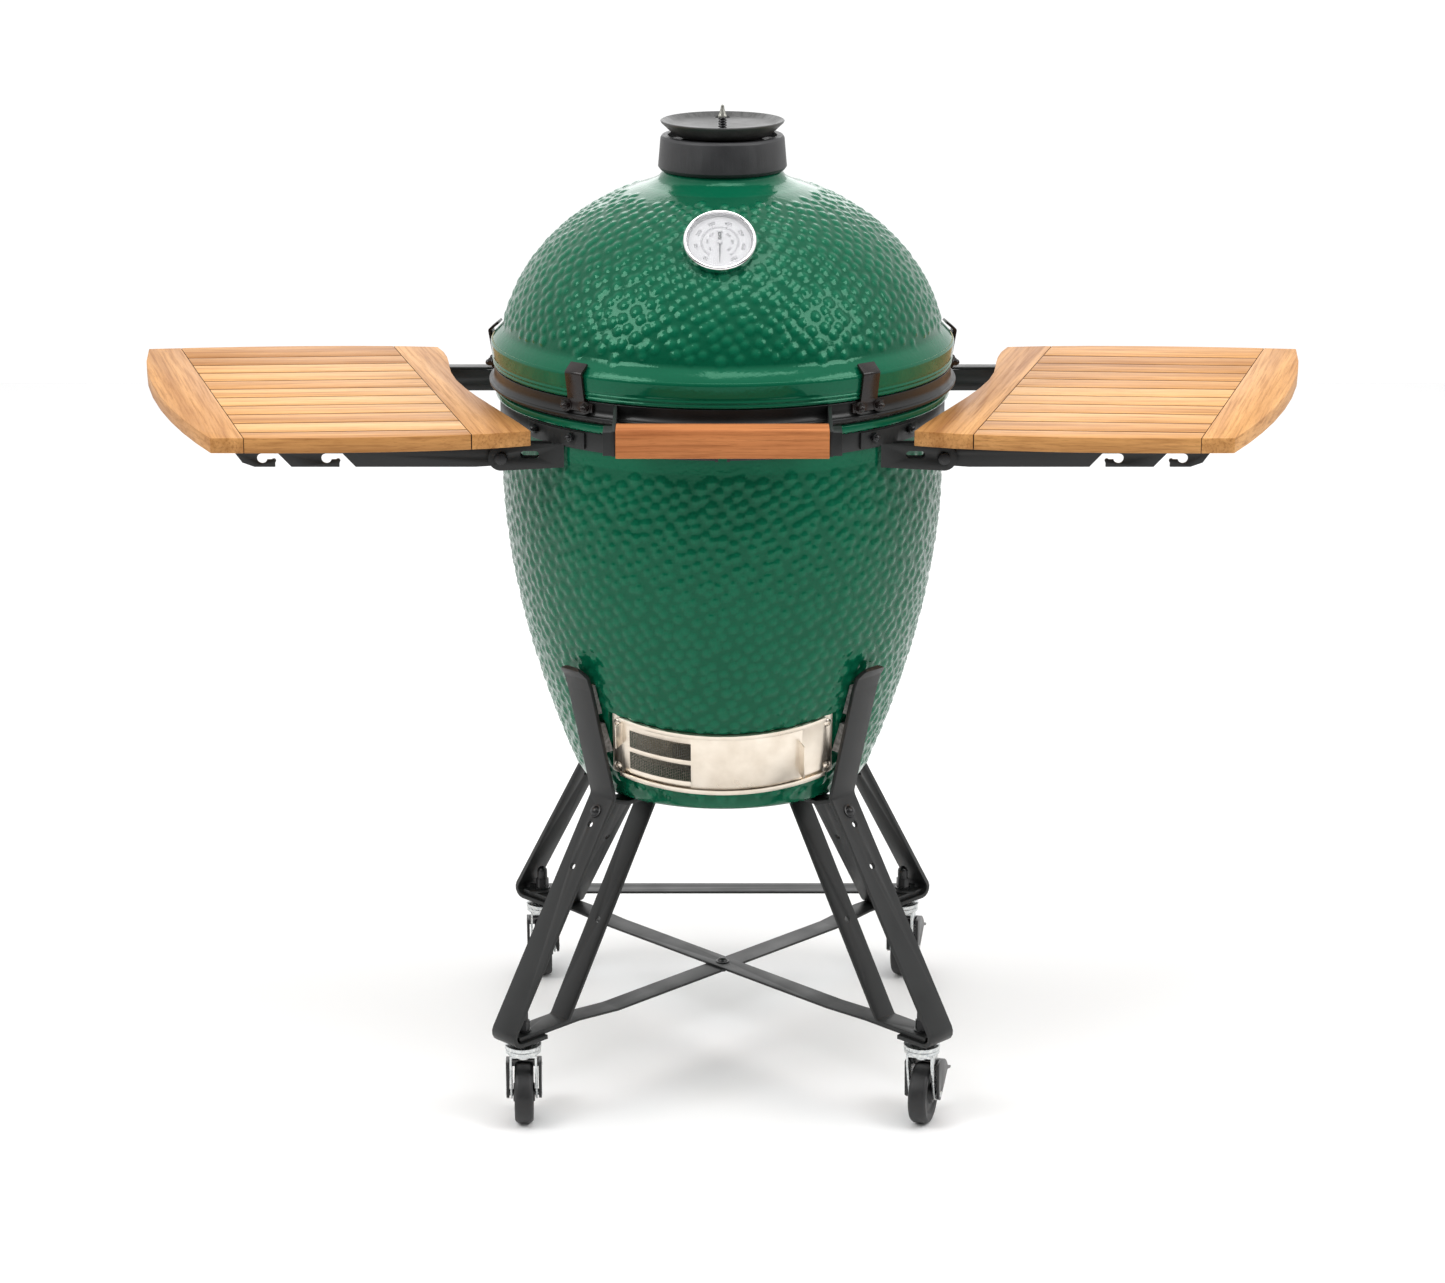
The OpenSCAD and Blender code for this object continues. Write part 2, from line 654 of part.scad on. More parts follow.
// Clips that hook over the skirt and bolt to the band
clip_angles = [-97, -37, 37, 97];
module lid_clips() {
    hook = rounded([[273, rim_z + 65.5], [284.4, rim_z + 56], [279.6, rim_z + 27], [278.1, rim_z + 21],
        [278.1, rim_z + 12]], 2.5);
    color("#2a211e") for (a = clip_angles) rotate([0, 0, a - 90]) {
        strip(hook, 3, 24);
        difference() {
            translate([band_r + 0.2, -23, rim_z + 11.5]) cube([3, 46, 10]);
            for (y = [-14, 14]) translate([band_r, y, rim_z + 16.5]) rotate([0, 90, 0]) cylinder(h = 9, r = 3);
        }
        for (y = [-14, 14]) translate([band_r - 1, y, rim_z + 16.5]) rotate([0, 90, 0]) {
            translate([0, 0, 1.3]) cylinder(h = 3.7, r = 3);
            translate([0, 0, 4.2]) cylinder(h = 1.2, r = 7);
            translate([0, 0, 5.4]) cylinder(h = 4.5, r = 5.6, $fn = 6);
            translate([0, 0, 9.9]) sphere(4);
        }
    }
}

// --- Lid handle -----------------------------------------------------------

grip_half = 120;
grip = [-327, rim_z - 0.5];
grip_size = [36, 33];
module handle_bracket() {
    color(black_coat) {
        for (side = [0, 1]) mirror([side, 0, 0]) difference() {
            union() {
                translate([grip_half + 0.4, 0, 0]) rotate([90, 0, 90]) linear_extrude(4)
                    polygon([[-246, 898], [-246, 885], [-257, 882], [-268, 862], [-304, 860],
                        [grip[0] - 15, 860], [grip[0] - 15, 889], [-300, 891], [-266, 898]]);
                translate([grip_half + 0.4, grip[0] - 15, 861]) cube([14, 34, 27]);
            }
            translate([grip_half + 4.4, grip[0] - 12, 864]) cube([14, 28, 21]);
            cylinder(h = 2000, r = band_r);
            rotate_extrude() polygon([[0, rim_z], [skirt_r + 2.8, rim_z], [skirt_r + 2.8, rim_z + 5.4],
                [band_r, rim_z + 11.5], [0, rim_z + 11.5]]);
        }
        translate([0, grip[0], grip[1]]) rotate([0, 90, 0]) {
            cylinder(h = 2 * grip_half + 20, r = 6, center = true);
            for (z = [-grip_half - 12, grip_half + 5]) translate([0, 0, z]) cylinder(h = 7, r = 9, $fn = 6);
        }
    }
}

module handle_grip() {
    c = 2;
    w = grip_size[0] / 2;
    h = grip_size[1] / 2;
    color(oak) translate([0, grip[0], grip[1]]) rotate([90, 0, 90]) difference() {
        linear_extrude(2 * grip_half, center = true)
            polygon(concat(arc([w - c, h - c], c, 0, 90, 3), arc([c - w, h - c], c, 90, 180, 3),
                arc([c - w, c - h], c, 180, 270, 3), arc([w - c, c - h], c, 270, 360, 3)));
        cylinder(h = 400, r = 6.05, center = true);
    }
}

// --- Rear hinge -----------------------------------------------------------

hinge = [320, rim_z + 8];
hinge_half = 90;
knuckle_r = 11;
module hinge_bar(y, z) translate([0, y, z]) rotate([0, 90, 0]) children();

module hinge_lid_bracket() {
    color(black_coat) difference() {
        union() {
            for (x = [-70, 66]) translate([x, 0, 0]) rotate([90, 0, 90]) linear_extrude(4)
                polygon([[262, rim_z + 13], [hinge[0] - 4, hinge[1] - knuckle_r + 1], [hinge[0] + 8, hinge[1] - 6],
                    [hinge[0] + 8, hinge[1] + 8], [hinge[0] - 6, hinge[1] + 12], [262, rim_z + 22]]);
            hinge_bar(hinge[0], hinge[1]) for (z = [-70, 50]) translate([0, 0, z]) cylinder(h = 20, r = knuckle_r);
            translate([0, 0, rim_z + 12]) patch_rear(band_r + 0.2, band_r + 3.2, 0, 11, 18);
        }
        cylinder(h = 2000, r = band_r + 0.2);
        hinge_bar(hinge[0], hinge[1]) cylinder(h = 300, r = 5.05, center = true);
    }
}
module patch_rear(r1, r2, z1, z2, half) rotate([0, 0, 90 - half]) rotate_extrude(angle = 2 * half)
    translate([r1, z1]) square([r2 - r1, z2 - z1]);

module hinge_base_bracket() {
    color(black_coat) difference() {
        union() {
            for (x = [-80, 75]) translate([x, 0, 0]) rotate([90, 0, 90]) linear_extrude(5)
                polygon([[255, band_low + 1], [330, band_low + 1], [345, hinge[1] - 14], [345, hinge[1] + 10],
                    [hinge[0] - 6, hinge[1] + 11], [hinge[0] - 12, hinge[1] - 6], [290, band_top - 2],
                    [255, band_top - 2]]);
            translate([-80, 300, band_low + 1]) cube([160, 30, 4]);
            translate([0, 0, band_low + 2]) patch_rear(base_r + 3.4, base_r + 6.6, 0, 19, 19);
        }
        cylinder(h = 2000, r = base_r + 3.4);
        hinge_bar(hinge[0], hinge[1]) cylinder(h = 300, r = 5, center = true);
    }
}

module hinge_pin() {
    color(zinc) hinge_bar(hinge[0], hinge[1]) {
        cylinder(h = 2 * hinge_half, r = 5, center = true);
        for (z = [-hinge_half, hinge_half - 6]) translate([0, 0, z]) cylinder(h = 6, r = 9);
    }
}

// Closely wound torsion springs on the pin, with a tail down to the bracket
module hinge_springs() {
    turn = 4;
    color(steel) for (side = [0, 1]) mirror([side, 0, 0]) {
        hinge_bar(hinge[0], hinge[1]) rotate_extrude() difference() {
            translate([7, 6]) square([3 + turn / 2, 9 * turn + turn / 2]);
            for (i = [0 : 9]) translate([12.6, 6.5 + turn * (i + 0.45)]) circle(1.4);
        }
        translate([8, hinge[0] - 1, band_low + 5]) cube([4, 4, hinge[1] - 8 - band_low - 5]);
    }
}

// --- Thermometer ----------------------------------------------------------

gauge_centre = [-3, -190, rim_z + 205];
module gauge_place() translate(gauge_centre) rotate([gauge_tilt, 0, 0]) children();

module gauge_case() {
    color("#c8c8ca") gauge_place() {
        difference() {
            rotate_extrude() polygon([[0, -11], [gauge_r - 2, -11], [gauge_r, -9], [gauge_r, -2], [gauge_r - 1.5, 0],
                [gauge_r - 3, 0], [gauge_r - 4, -1.4], [0, -1.4]]);
            translate([0, 0, -8]) cylinder(h = 20, r = gauge_r - 4);
        }
        translate([0, 0, -80]) cylinder(h = 69.5, r = 4);
        translate([0, 0, -17]) cylinder(h = 6.5, r = 9, $fn = 6);
    }
}

module gauge_dial() {
    color("white") gauge_place() {
        translate([0, 0, -8]) cylinder(h = 1, r = gauge_r - 4.1);
        translate([0, 0, -8]) cylinder(h = 4, r = 1.4);
    }
}

module gauge_needle() {
    color("#20201f") gauge_place() translate([0, 0, -5.8]) linear_extrude(0.8) difference() {
        union() {
            polygon([[-1.5, 0], [-0.4, -29], [0.4, -29], [1.5, 0], [2.2, 5], [2.2, 13.5], [-2.2, 13.5], [-2.2, 5]]);
            circle(3);
        }
        circle(1.46);
    }
}

module gauge_lens() color("#eef4f6", 0.3) gauge_place() translate([0, 0, -3.4]) cylinder(h = 1.6, r = gauge_r - 4.1);

// --- Vent cap -------------------------------------------------------------

cap_low = rim_z + 256.3;
cap_top = rim_z + 297;
vent_pivot_y = 57;
module cap_collar() {
    color("#4b4b4c") {
        rotate_extrude() polygon([[68.3, cap_low], [74, cap_low], [cap_r, cap_low + 4], [cap_r - 3, cap_top - 3],
            [cap_r - 5, cap_top], [65, cap_top], [64, cap_top - 6], [50, cap_top - 7], [50, rim_z + 274.3],
            [68.3, rim_z + 274.3]]);
        translate([0, vent_pivot_y, cap_top - 9]) cylinder(h = 22.5, r = 4);
        translate([0, vent_pivot_y, cap_top - 8]) cylinder(h = 7.6, r = 6.5);
    }
}

module vent_disc() {
    low = cap_top + 0.7;
    color("#6b6b69") difference() {
        rotate_extrude() polygon([[0, low], [58, low], [61, low + 3], [vent_r - 1, low + 14.2], [vent_r, low + 16.3],
            [vent_r - 1.4, low + 17.2], [62, low + 12], [0, low + 10.5]]);
        translate([0, vent_pivot_y, low - 1]) cylinder(h = 30, r = 4.05);
        translate([0, vent_pivot_y, low + 10.4]) cylinder(h = 30, r = 9);
    }
}

module vent_handle() {
    z = cap_top + 12.5;
    color("#a9a9a5") translate([0, -50, z]) {
        cylinder(h = 14, r = 3);
        for (i = [0 : 3]) ring(2.5, 4.8, 1 + i * 3, 3 + i * 3);
        translate([0, 0, 12.6]) rotate_extrude()
            polygon([[0, 0], [4.4, 0], [5, 1.2], [3.6, 4], [1.9, 6.6], [1.7, 11.1], [0, 11.9]]);
    }
}

leg(0);  // leg_front_left
leg(1);  // leg_front_right
leg(2);  // leg_rear_left
leg(3);  // leg_rear_right
inner_struts();
cradle_bars();
cross_braces();
rear_stretcher();
frame_bolts();
leg_pads();
caster_stems();
caster_nuts();
fork(0);  // fork_front_left
wheel(0);  // wheel_front_left
brake(0);  // brake_front_left
fork(1);  // fork_front_right
wheel(1);  // wheel_front_right
brake(1);  // brake_front_right
fork(2);  // fork_rear_left
wheel(2);  // wheel_rear_left
brake(2);  // brake_rear_left
fork(3);  // fork_rear_right
wheel(3);  // wheel_rear_right
brake(3);  // brake_rear_right
base_shell();
base_band();
band_bolts();
base_gasket();
fire_box();
fire_ring();
fire_grate();
cooking_grid();
draft_frame();
draft_screws();
screen_door();
screen_mesh();
draft_door();
shelf_brackets();
shelf_pivots();
hinge_base_bracket();
hinge_pin();
hinge_springs();
dome_shell();
lid_band();
lid_gasket();
lid_clips();
handle_bracket();
handle_grip();
hinge_lid_bracket();
gauge_case();
gauge_dial();
gauge_needle();
gauge_lens();
cap_collar();
vent_disc();
vent_handle();
mirror([1, 0, 0]) shelf_arms();  // left_shelf_arms
mirror([1, 0, 0]) shelf_boards();  // left_shelf_boards
shelf_arms();  // right_shelf_arms
shelf_boards();  // right_shelf_boards
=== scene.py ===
import bpy
import bmesh
import json
import math
import random
from mathutils import Matrix, Vector
from mathutils.kdtree import KDTree

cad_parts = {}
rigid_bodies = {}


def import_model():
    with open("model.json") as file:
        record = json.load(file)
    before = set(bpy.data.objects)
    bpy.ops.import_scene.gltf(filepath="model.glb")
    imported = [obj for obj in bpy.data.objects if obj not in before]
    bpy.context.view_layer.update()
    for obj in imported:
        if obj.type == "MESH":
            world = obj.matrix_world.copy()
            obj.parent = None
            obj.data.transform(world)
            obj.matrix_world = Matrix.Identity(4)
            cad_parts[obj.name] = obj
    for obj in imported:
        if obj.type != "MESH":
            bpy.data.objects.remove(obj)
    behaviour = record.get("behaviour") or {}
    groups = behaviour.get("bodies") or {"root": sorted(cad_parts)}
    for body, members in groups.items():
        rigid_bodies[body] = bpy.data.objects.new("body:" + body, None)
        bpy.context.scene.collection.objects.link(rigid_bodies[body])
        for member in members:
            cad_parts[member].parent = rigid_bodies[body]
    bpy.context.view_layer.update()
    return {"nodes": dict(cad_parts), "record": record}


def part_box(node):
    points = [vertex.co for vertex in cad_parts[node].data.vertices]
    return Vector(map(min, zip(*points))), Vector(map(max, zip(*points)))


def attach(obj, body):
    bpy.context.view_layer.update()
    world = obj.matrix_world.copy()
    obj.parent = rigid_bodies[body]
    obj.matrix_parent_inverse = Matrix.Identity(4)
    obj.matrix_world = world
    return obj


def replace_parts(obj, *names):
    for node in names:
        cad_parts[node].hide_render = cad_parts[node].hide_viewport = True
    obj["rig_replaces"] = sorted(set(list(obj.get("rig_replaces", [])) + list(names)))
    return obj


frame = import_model()
scene = bpy.context.scene
mm = 0.001
bodyOf = {node: body for body, nodes in frame["record"]["behaviour"]["bodies"].items() for node in nodes}
slotOf = {part["node"]: part["material_slot"] for part in frame["record"]["subparts"]}
print("frame loaded:", len(frame["nodes"]), "nodes")


# Finishes

def srgb(red, green, blue):
    # a colour as seen on screen, 0 to 255, turned into the linear one that shaders use
    linear = [c / 3294.6 if c < 11 else ((c / 255 + 0.055) / 1.055) ** 2.4 for c in (red, green, blue)]
    return tuple(linear) + (1,)


def addNode(tree, kind, inputs={}, **settings):
    made = tree.nodes.new("ShaderNode" + kind)
    for name, value in settings.items():
        setattr(made, name, value)
    for name, value in inputs.items():
        if isinstance(value, bpy.types.NodeSocket):
            tree.links.new(value, made.inputs[name])
        else:
            made.inputs[name].default_value = value
    return made


def newFinish(name, fixed):
    material = bpy.data.materials.new(name)
    material.use_nodes = True
    tree = material.node_tree
    shader = tree.nodes["Principled BSDF"]
    for socket, value in fixed.items():
        shader.inputs[socket].default_value = value
    return material, tree, shader


def objectSpace(tree):
    return addNode(tree, "TexCoord").outputs["Object"]


def patches(tree, place, size, stretch=(1, 1, 1), detail=3):
    # soft noise whose patches are size metres across, longer along the stretched axes
    spread = addNode(tree, "Mapping", {"Vector": place, "Scale": [1 / (size * s) for s in stretch]})
    return addNode(tree, "TexNoise", {"Vector": spread.outputs[0], "Scale": 1, "Detail": detail}).outputs[0]


def ramp(tree, factor, stops):
    made = addNode(tree, "ValToRGB", {"Fac": factor})
    elements = made.color_ramp.elements
    while len(elements) < len(stops):
        elements.new(0.5)
    for element, (position, colour) in zip(elements, stops):
        element.position = position
        element.color = colour
    return made.outputs["Color"]


def span(tree, value, low, high, start=0.3, end=0.7):
    return addNode(tree, "MapRange", {"Value": value, "From Min": start, "From Max": end,
                                      "To Min": low, "To Max": high}).outputs["Result"]


def roughen(tree, shader, height, depth):
    raised = addNode(tree, "Bump", {"Height": height, "Distance": depth, "Strength": 1})
    tree.links.new(raised.outputs["Normal"], shader.inputs["Normal"])


# each plain finish has a dark and a light colour, patch size, roughness range, grain size and depth
plainFinishes = {
    "black_coat": {"dark": (24, 25, 25), "light": (33, 34, 34), "patch": 0.05, "rough": (0.36, 0.5),
                   "grain": 0.0011, "depth": 0.00006, "fixed": {"Specular IOR Level": 0.38}},
    "black_gloss": {"dark": (11, 11, 11), "light": (19, 19, 19), "patch": 0.03, "rough": (0.3, 0.4),
                    "grain": 0.0012, "depth": 0.00003, "fixed": {"Specular IOR Level": 0.35}},
    "black_fastener": {"dark": (14, 14, 15), "light": (26, 26, 28), "patch": 0.006, "rough": (0.24, 0.4),
                       "grain": 0.0008, "depth": 0.00003},
    "clip_steel": {"dark": (17, 11, 10), "light": (30, 20, 18), "patch": 0.012, "rough": (0.24, 0.36),
                   "grain": 0.001, "depth": 0.00003, "fixed": {"Specular IOR Level": 0.4}},
    "zinc": {"dark": (176, 180, 182), "light": (226, 228, 226), "patch": 0.004, "rough": (0.2, 0.38),
             "grain": 0.0012, "depth": 0.00003, "fixed": {"Metallic": 1}},
    "tyre": {"dark": (20, 20, 21), "light": (34, 34, 35), "patch": 0.01, "rough": (0.42, 0.6),
             "grain": 0.0007, "depth": 0.00005},
    "black_plastic": {"dark": (18, 18, 19), "light": (30, 30, 31), "patch": 0.02, "rough": (0.3, 0.42),
                      "grain": 0.0005, "depth": 0.00003},
    "felt": {"dark": (96, 94, 92), "light": (146, 143, 140), "patch": 0.004, "rough": (0.9, 1),
             "grain": 0.0008, "depth": 0.0003, "stretch": (2, 2, 0.5)},
    "fire_clay": {"dark": (186, 166, 136), "light": (214, 198, 170), "patch": 0.02, "rough": (0.8, 0.95),
                  "grain": 0.0015, "depth": 0.0003},
    "cast_iron": {"dark": (38, 37, 36), "light": (62, 60, 58), "patch": 0.01, "rough": (0.55, 0.75),
                  "grain": 0.0014, "depth": 0.0003, "fixed": {"Metallic": 0.6}},
    "stainless": {"dark": (212, 200, 184), "light": (232, 222, 208), "patch": 0.03, "rough": (0.27, 0.36),
                  "grain": 0.0009, "depth": 0.000006, "stretch": (40, 40, 0.5),
                  "fixed": {"Metallic": 1, "Anisotropic": 0.4}},
    "mesh": {"dark": (96, 92, 84), "light": (150, 146, 134), "patch": 0.002, "rough": (0.3, 0.45),
             "grain": 0.0006, "depth": 0.00002, "fixed": {"Metallic": 0.8}},
    "chrome": {"dark": (214, 212, 212), "light": (240, 239, 240), "patch": 0.02, "rough": (0.06, 0.14),
               "grain": 0.002, "depth": 0.00001, "fixed": {"Metallic": 1}},
    "dial_white": {"dark": (176, 174, 177), "light": (190, 188, 191), "patch": 0.02, "rough": (0.4, 0.5),
                   "grain": 0.0006, "depth": 0.00001},
    "needle_black": {"dark": (20, 20, 22), "light": (34, 34, 36), "patch": 0.006, "rough": (0.35, 0.45),
                     "grain": 0.0006, "depth": 0.00001},
    "cap_iron": {"dark": (38, 38, 40), "light": (50, 50, 52), "patch": 0.03, "rough": (0.42, 0.55),
                 "grain": 0.0013, "depth": 0.00012},
    "vent_iron": {"dark": (40, 41, 40), "light": (56, 56, 55), "patch": 0.03, "rough": (0.38, 0.52),
                  "grain": 0.0013, "depth": 0.00012},
    "handle_metal": {"dark": (126, 126, 120), "light": (186, 185, 176), "patch": 0.004, "rough": (0.28, 0.42),
                     "grain": 0.0008, "depth": 0.00004, "fixed": {"Metallic": 0.7}},
}


def plainFinish(name, look):
    material, tree, shader = newFinish(name, look.get("fixed", {}))
    place = objectSpace(tree)
    cloud = patches(tree, place, look["patch"])
    colour = ramp(tree, cloud, [(0.3, srgb(*look["dark"])), (0.7, srgb(*look["light"]))])
    tree.links.new(colour, shader.inputs["Base Color"])
    grain = patches(tree, place, look["grain"], look.get("stretch", (1, 1, 1)))
    tree.links.new(span(tree, cloud, *look["rough"]), shader.inputs["Roughness"])
    roughen(tree, shader, grain, look["depth"])
    return material


# the hollow and crest colours paint shade between the spots and light on their tops
glazeLook = {"shadedHollow": (4, 76, 52), "body": (8, 86, 60), "litCrest": (11, 92, 65), "bodyAt": 0.45,
             "patch": 0.09, "cloud": 0.12, "ripple": 0.006, "rippleDepth": 0.0002,
             "roughPatch": 0.02, "rough": (0.1, 0.16),
             "fixed": {"Specular IOR Level": 0.36, "Specular Tint": (0.42, 1, 0.7, 1)}}


def glazeFinish():
    # painted shade and light: the hollows between the raised spots get a darker colour and the crests a paler
    # one, where shade and light would fall on them
    material, tree, shader = newFinish("green_glaze", glazeLook["fixed"])
    place = objectSpace(tree)
    relief = addNode(tree, "Attribute", attribute_name="relief").outputs["Fac"]
    cloud = patches(tree, place, glazeLook["patch"])
    uneven = span(tree, cloud, -glazeLook["cloud"], glazeLook["cloud"])
    level = addNode(tree, "Math", {0: relief, 1: uneven}, operation="ADD").outputs[0]
    colour = ramp(tree, level, [(0.0, srgb(*glazeLook["shadedHollow"])),
                                (glazeLook["bodyAt"], srgb(*glazeLook["body"])),
                                (1.0, srgb(*glazeLook["litCrest"]))])
    tree.links.new(colour, shader.inputs["Base Color"])
    smear = patches(tree, place, glazeLook["roughPatch"])
    tree.links.new(span(tree, smear, *glazeLook["rough"]), shader.inputs["Roughness"])
    roughen(tree, shader, patches(tree, place, glazeLook["ripple"], detail=1), glazeLook["rippleDepth"])
    return material


# the last colour of each wood is painted shadow for the walls between slats
woodLooks = {
    "shelf_wood": {"dark": (164, 112, 62), "middle": (207, 153, 94), "light": (228, 180, 120),
                   "vein": (122, 72, 36), "gapShadowColour": (48, 24, 12)},
    "grip_wood": {"dark": (158, 90, 50), "middle": (198, 128, 78), "light": (222, 158, 106),
                  "vein": (116, 62, 32), "gapShadowColour": (48, 24, 12)},
}


def woodFinish(name, look):
    # grainSpace runs along each board, and tint is that board's own shade
    material, tree, shader = newFinish(name, {"Specular IOR Level": 0.12})
    place = addNode(tree, "Attribute", attribute_name="grainSpace").outputs["Vector"]
    tint = addNode(tree, "Attribute", attribute_name="tint").outputs["Fac"]
    bands = patches(tree, place, 0.016, (22, 1, 1), 4)
    streaks = patches(tree, place, 0.0032, (34, 1, 1), 5)
    pores = patches(tree, place, 0.0007, (26, 1, 1), 2)
    shade = addNode(tree, "Math", {0: bands, 1: tint}, operation="ADD").outputs[0]
    ground = ramp(tree, span(tree, shade, 0, 1, 0.25, 1.1),
                  [(0.0, srgb(*look["dark"])), (0.5, srgb(*look["middle"])), (1.0, srgb(*look["light"]))])
    vein = srgb(*look["vein"])
    veined = addNode(tree, "MixRGB", {0: span(tree, streaks, 0.5, 0, 0.3, 0.52), 1: ground, 2: vein})
    pored = addNode(tree, "MixRGB", {0: span(tree, pores, 0.35, 0, 0.3, 0.45), 1: veined.outputs[0], 2: vein})
    # painted shadow: the walls between slats and the bevels above them get the dark gap colour
    slatGapShadow = addNode(tree, "Attribute", attribute_name="slatGapShadow").outputs["Fac"]
    shadowed = addNode(tree, "MixRGB", {0: slatGapShadow, 1: pored.outputs[0], 2: srgb(*look["gapShadowColour"])})
    tree.links.new(shadowed.outputs[0], shader.inputs["Base Color"])
    tree.links.new(span(tree, streaks, 0.52, 0.4), shader.inputs["Roughness"])
    roughen(tree, shader, pores, 0.00012)
    return material


def lensFinish():
    material, tree, shader = newFinish("lens", {"Alpha": 0.1, "IOR": 1.45, "Base Color": srgb(244, 248, 250)})
    smear = patches(tree, objectSpace(tree), 0.02)
    tree.links.new(span(tree, smear, 0.02, 0.06), shader.inputs["Roughness"])
    return material


finishes = {name: plainFinish(name, look) for name, look in plainFinishes.items()}
finishes["green_glaze"] = glazeFinish()
finishes["lens"] = lensFinish()
for woodName, woodLook in woodLooks.items():
    finishes[woodName] = woodFinish(woodName, woodLook)
print("finishes ready:", len(finishes))


# Shared making steps

mergeGap = 0.000002  # metres; corners nearer than this become one


def makePiece(name, bm, body, slot, replaced=(), sharp=40, second=None, finish=None):
    mesh = bpy.data.meshes.new(name)
    for face in bm.faces:
        face.smooth = True
    for edge in bm.edges:
        edge.smooth = len(edge.link_faces) == 2 and edge.calc_face_angle(0) < math.radians(sharp)
    bm.to_mesh(mesh)
    bm.free()
    piece = bpy.data.objects.new(name, mesh)
    scene.collection.objects.link(piece)
    mesh.materials.append(finishes[finish or slot])
    if second:
        mesh.materials.append(finishes[second])
    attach(piece, body)
    if replaced:
        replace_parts(piece, *replaced)
    return piece


def lathe(points, steps, closed=False):
    # turns an outline of (radius, height) points, in millimetres, about the upright axis
    bm = bmesh.new()
    verts = [bm.verts.new((r * mm, 0, z * mm)) for r, z in points]
    pairs = list(zip(verts, verts[1:])) + ([(verts[-1], verts[0])] if closed else [])
    edges = [bm.edges.new(pair) for pair in pairs]
    bmesh.ops.spin(bm, geom=verts + edges, cent=(0, 0, 0), axis=(0, 0, 1), angle=2 * math.pi, steps=steps,
                   use_merge=True, dvec=(0, 0, 0))
    bmesh.ops.remove_doubles(bm, verts=bm.verts, dist=mergeGap)
    bmesh.ops.recalc_face_normals(bm, faces=bm.faces)
    return bm


def roundedOutline(corners, steps=4):
    # corners are (radius, height, fillet); a fillet above 0 becomes a short curve
    outline = []
    for i, (r, z, fillet) in enumerate(corners):
        here = Vector((r, z))
        if not fillet:
            outline.append((r, z))
            continue
        before = Vector(corners[i - 1][:2]) - here
        after = Vector(corners[(i + 1) % len(corners)][:2]) - here
        first = here + before.normalized() * min(fillet, before.length / 2)
        last = here + after.normalized() * min(fillet, after.length / 2)
        for k in range(steps + 1):
            t = k / steps
            point = first * (1 - t) ** 2 + here * 2 * t * (1 - t) + last * t * t
            outline.append((point.x, point.y))
    return outline


def cadCopy(node):
    bm = bmesh.new()
    bm.from_mesh(frame["nodes"][node].data)
    bmesh.ops.remove_doubles(bm, verts=bm.verts, dist=0.00001)
    bmesh.ops.dissolve_limit(bm, angle_limit=math.radians(0.6), verts=bm.verts, edges=bm.edges)
    return bm


def bevelSharp(bm, width, segments=2, angle=28):
    edges = [e for e in bm.edges if len(e.link_faces) == 2 and e.calc_face_angle(0) > math.radians(angle)]
    bmesh.ops.bevel(bm, geom=edges, offset=width * mm, offset_type="OFFSET", segments=segments, profile=0.5,
                    affect="EDGES", clamp_overlap=True, material=-1)


def shells(bm):
    # the loose pieces of a mesh, each as a list of vertices
    left = set(bm.verts)
    found = []
    while left:
        group = [left.pop()]
        for vert in group:
            for edge in vert.link_edges:
                other = edge.other_vert(vert)
                if other in left:
                    left.remove(other)
                    group.append(other)
        found.append(group)
    return found


def boxOf(verts):
    low = Vector([min(v.co[i] for v in verts) for i in range(3)])
    high = Vector([max(v.co[i] for v in verts) for i in range(3)])
    return low, high


boardLook = {"endLean": 15, "shift": 5, "shade": (-0.16, 0.34)}


def paintGrain(bm, seed, lean=0.0):
    # writes the direction of the grain and a shade for every board
    space = bm.verts.layers.float_vector.new("grainSpace")
    tint = bm.verts.layers.float.new("tint")
    chance = random.Random(seed)
    for board in sorted(shells(bm), key=lambda group: tuple(round(c, 4) for c in boxOf(group)[0])):
        low, high = boxOf(board)
        across = high.y - low.y > 1.2 * (high.x - low.x)
        along = 90 + math.copysign(boardLook["endLean"], low.x) if lean else 90
        turn = Matrix.Rotation(math.radians(along if across else lean), 3, "Z")
        shift = Vector([chance.uniform(-boardLook["shift"], boardLook["shift"]) for _ in range(3)])
        shade = chance.uniform(*boardLook["shade"])
        for vert in board:
            vert[space] = turn @ vert.co + shift
            vert[tint] = shade


# in millimetres; each glued joint of a shelf is a start (x, y) and an end (x, y); the walls along these
# joints get painted shadow
slatShadowLook = {"joints": [((281, -262), (430, 290)), ((546, -262), (703, 280))], "nearJoint": 3.5,
            "between": (300, 690), "outerEdges": (-226, 250)}


def paintSlatShadows(bm, lean):
    # paints shadow onto the narrow walls between one slat and the next, and onto the small bevels above them
    slatGapShadow = bm.faces.layers.float.new("slatGapShadow")
    turn = Matrix.Rotation(math.radians(lean), 3, "Z")
    inner, outer = slatShadowLook["between"]
    front, back = slatShadowLook["outerEdges"]
    for face in bm.faces:
        middle, normal = face.calc_center_median(), turn @ face.normal
        x, y = abs(middle.x) / mm, middle.y / mm
        if abs(normal.z) > 0.95 or normal.z < -0.3:
            continue
        onJoint = any(abs(x - x0 - (y - y0) * (x1 - x0) / (y1 - y0)) < slatShadowLook["nearJoint"] and
                      abs(normal.x) > 0.5 for (x0, y0), (x1, y1) in slatShadowLook["joints"])
        outerEdge = y < front or y > back
        insideJoints = inner < x < outer and abs(normal.y) > 0.5 and not outerEdge
        if onJoint or insideJoints:
            face[slatGapShadow] = 1


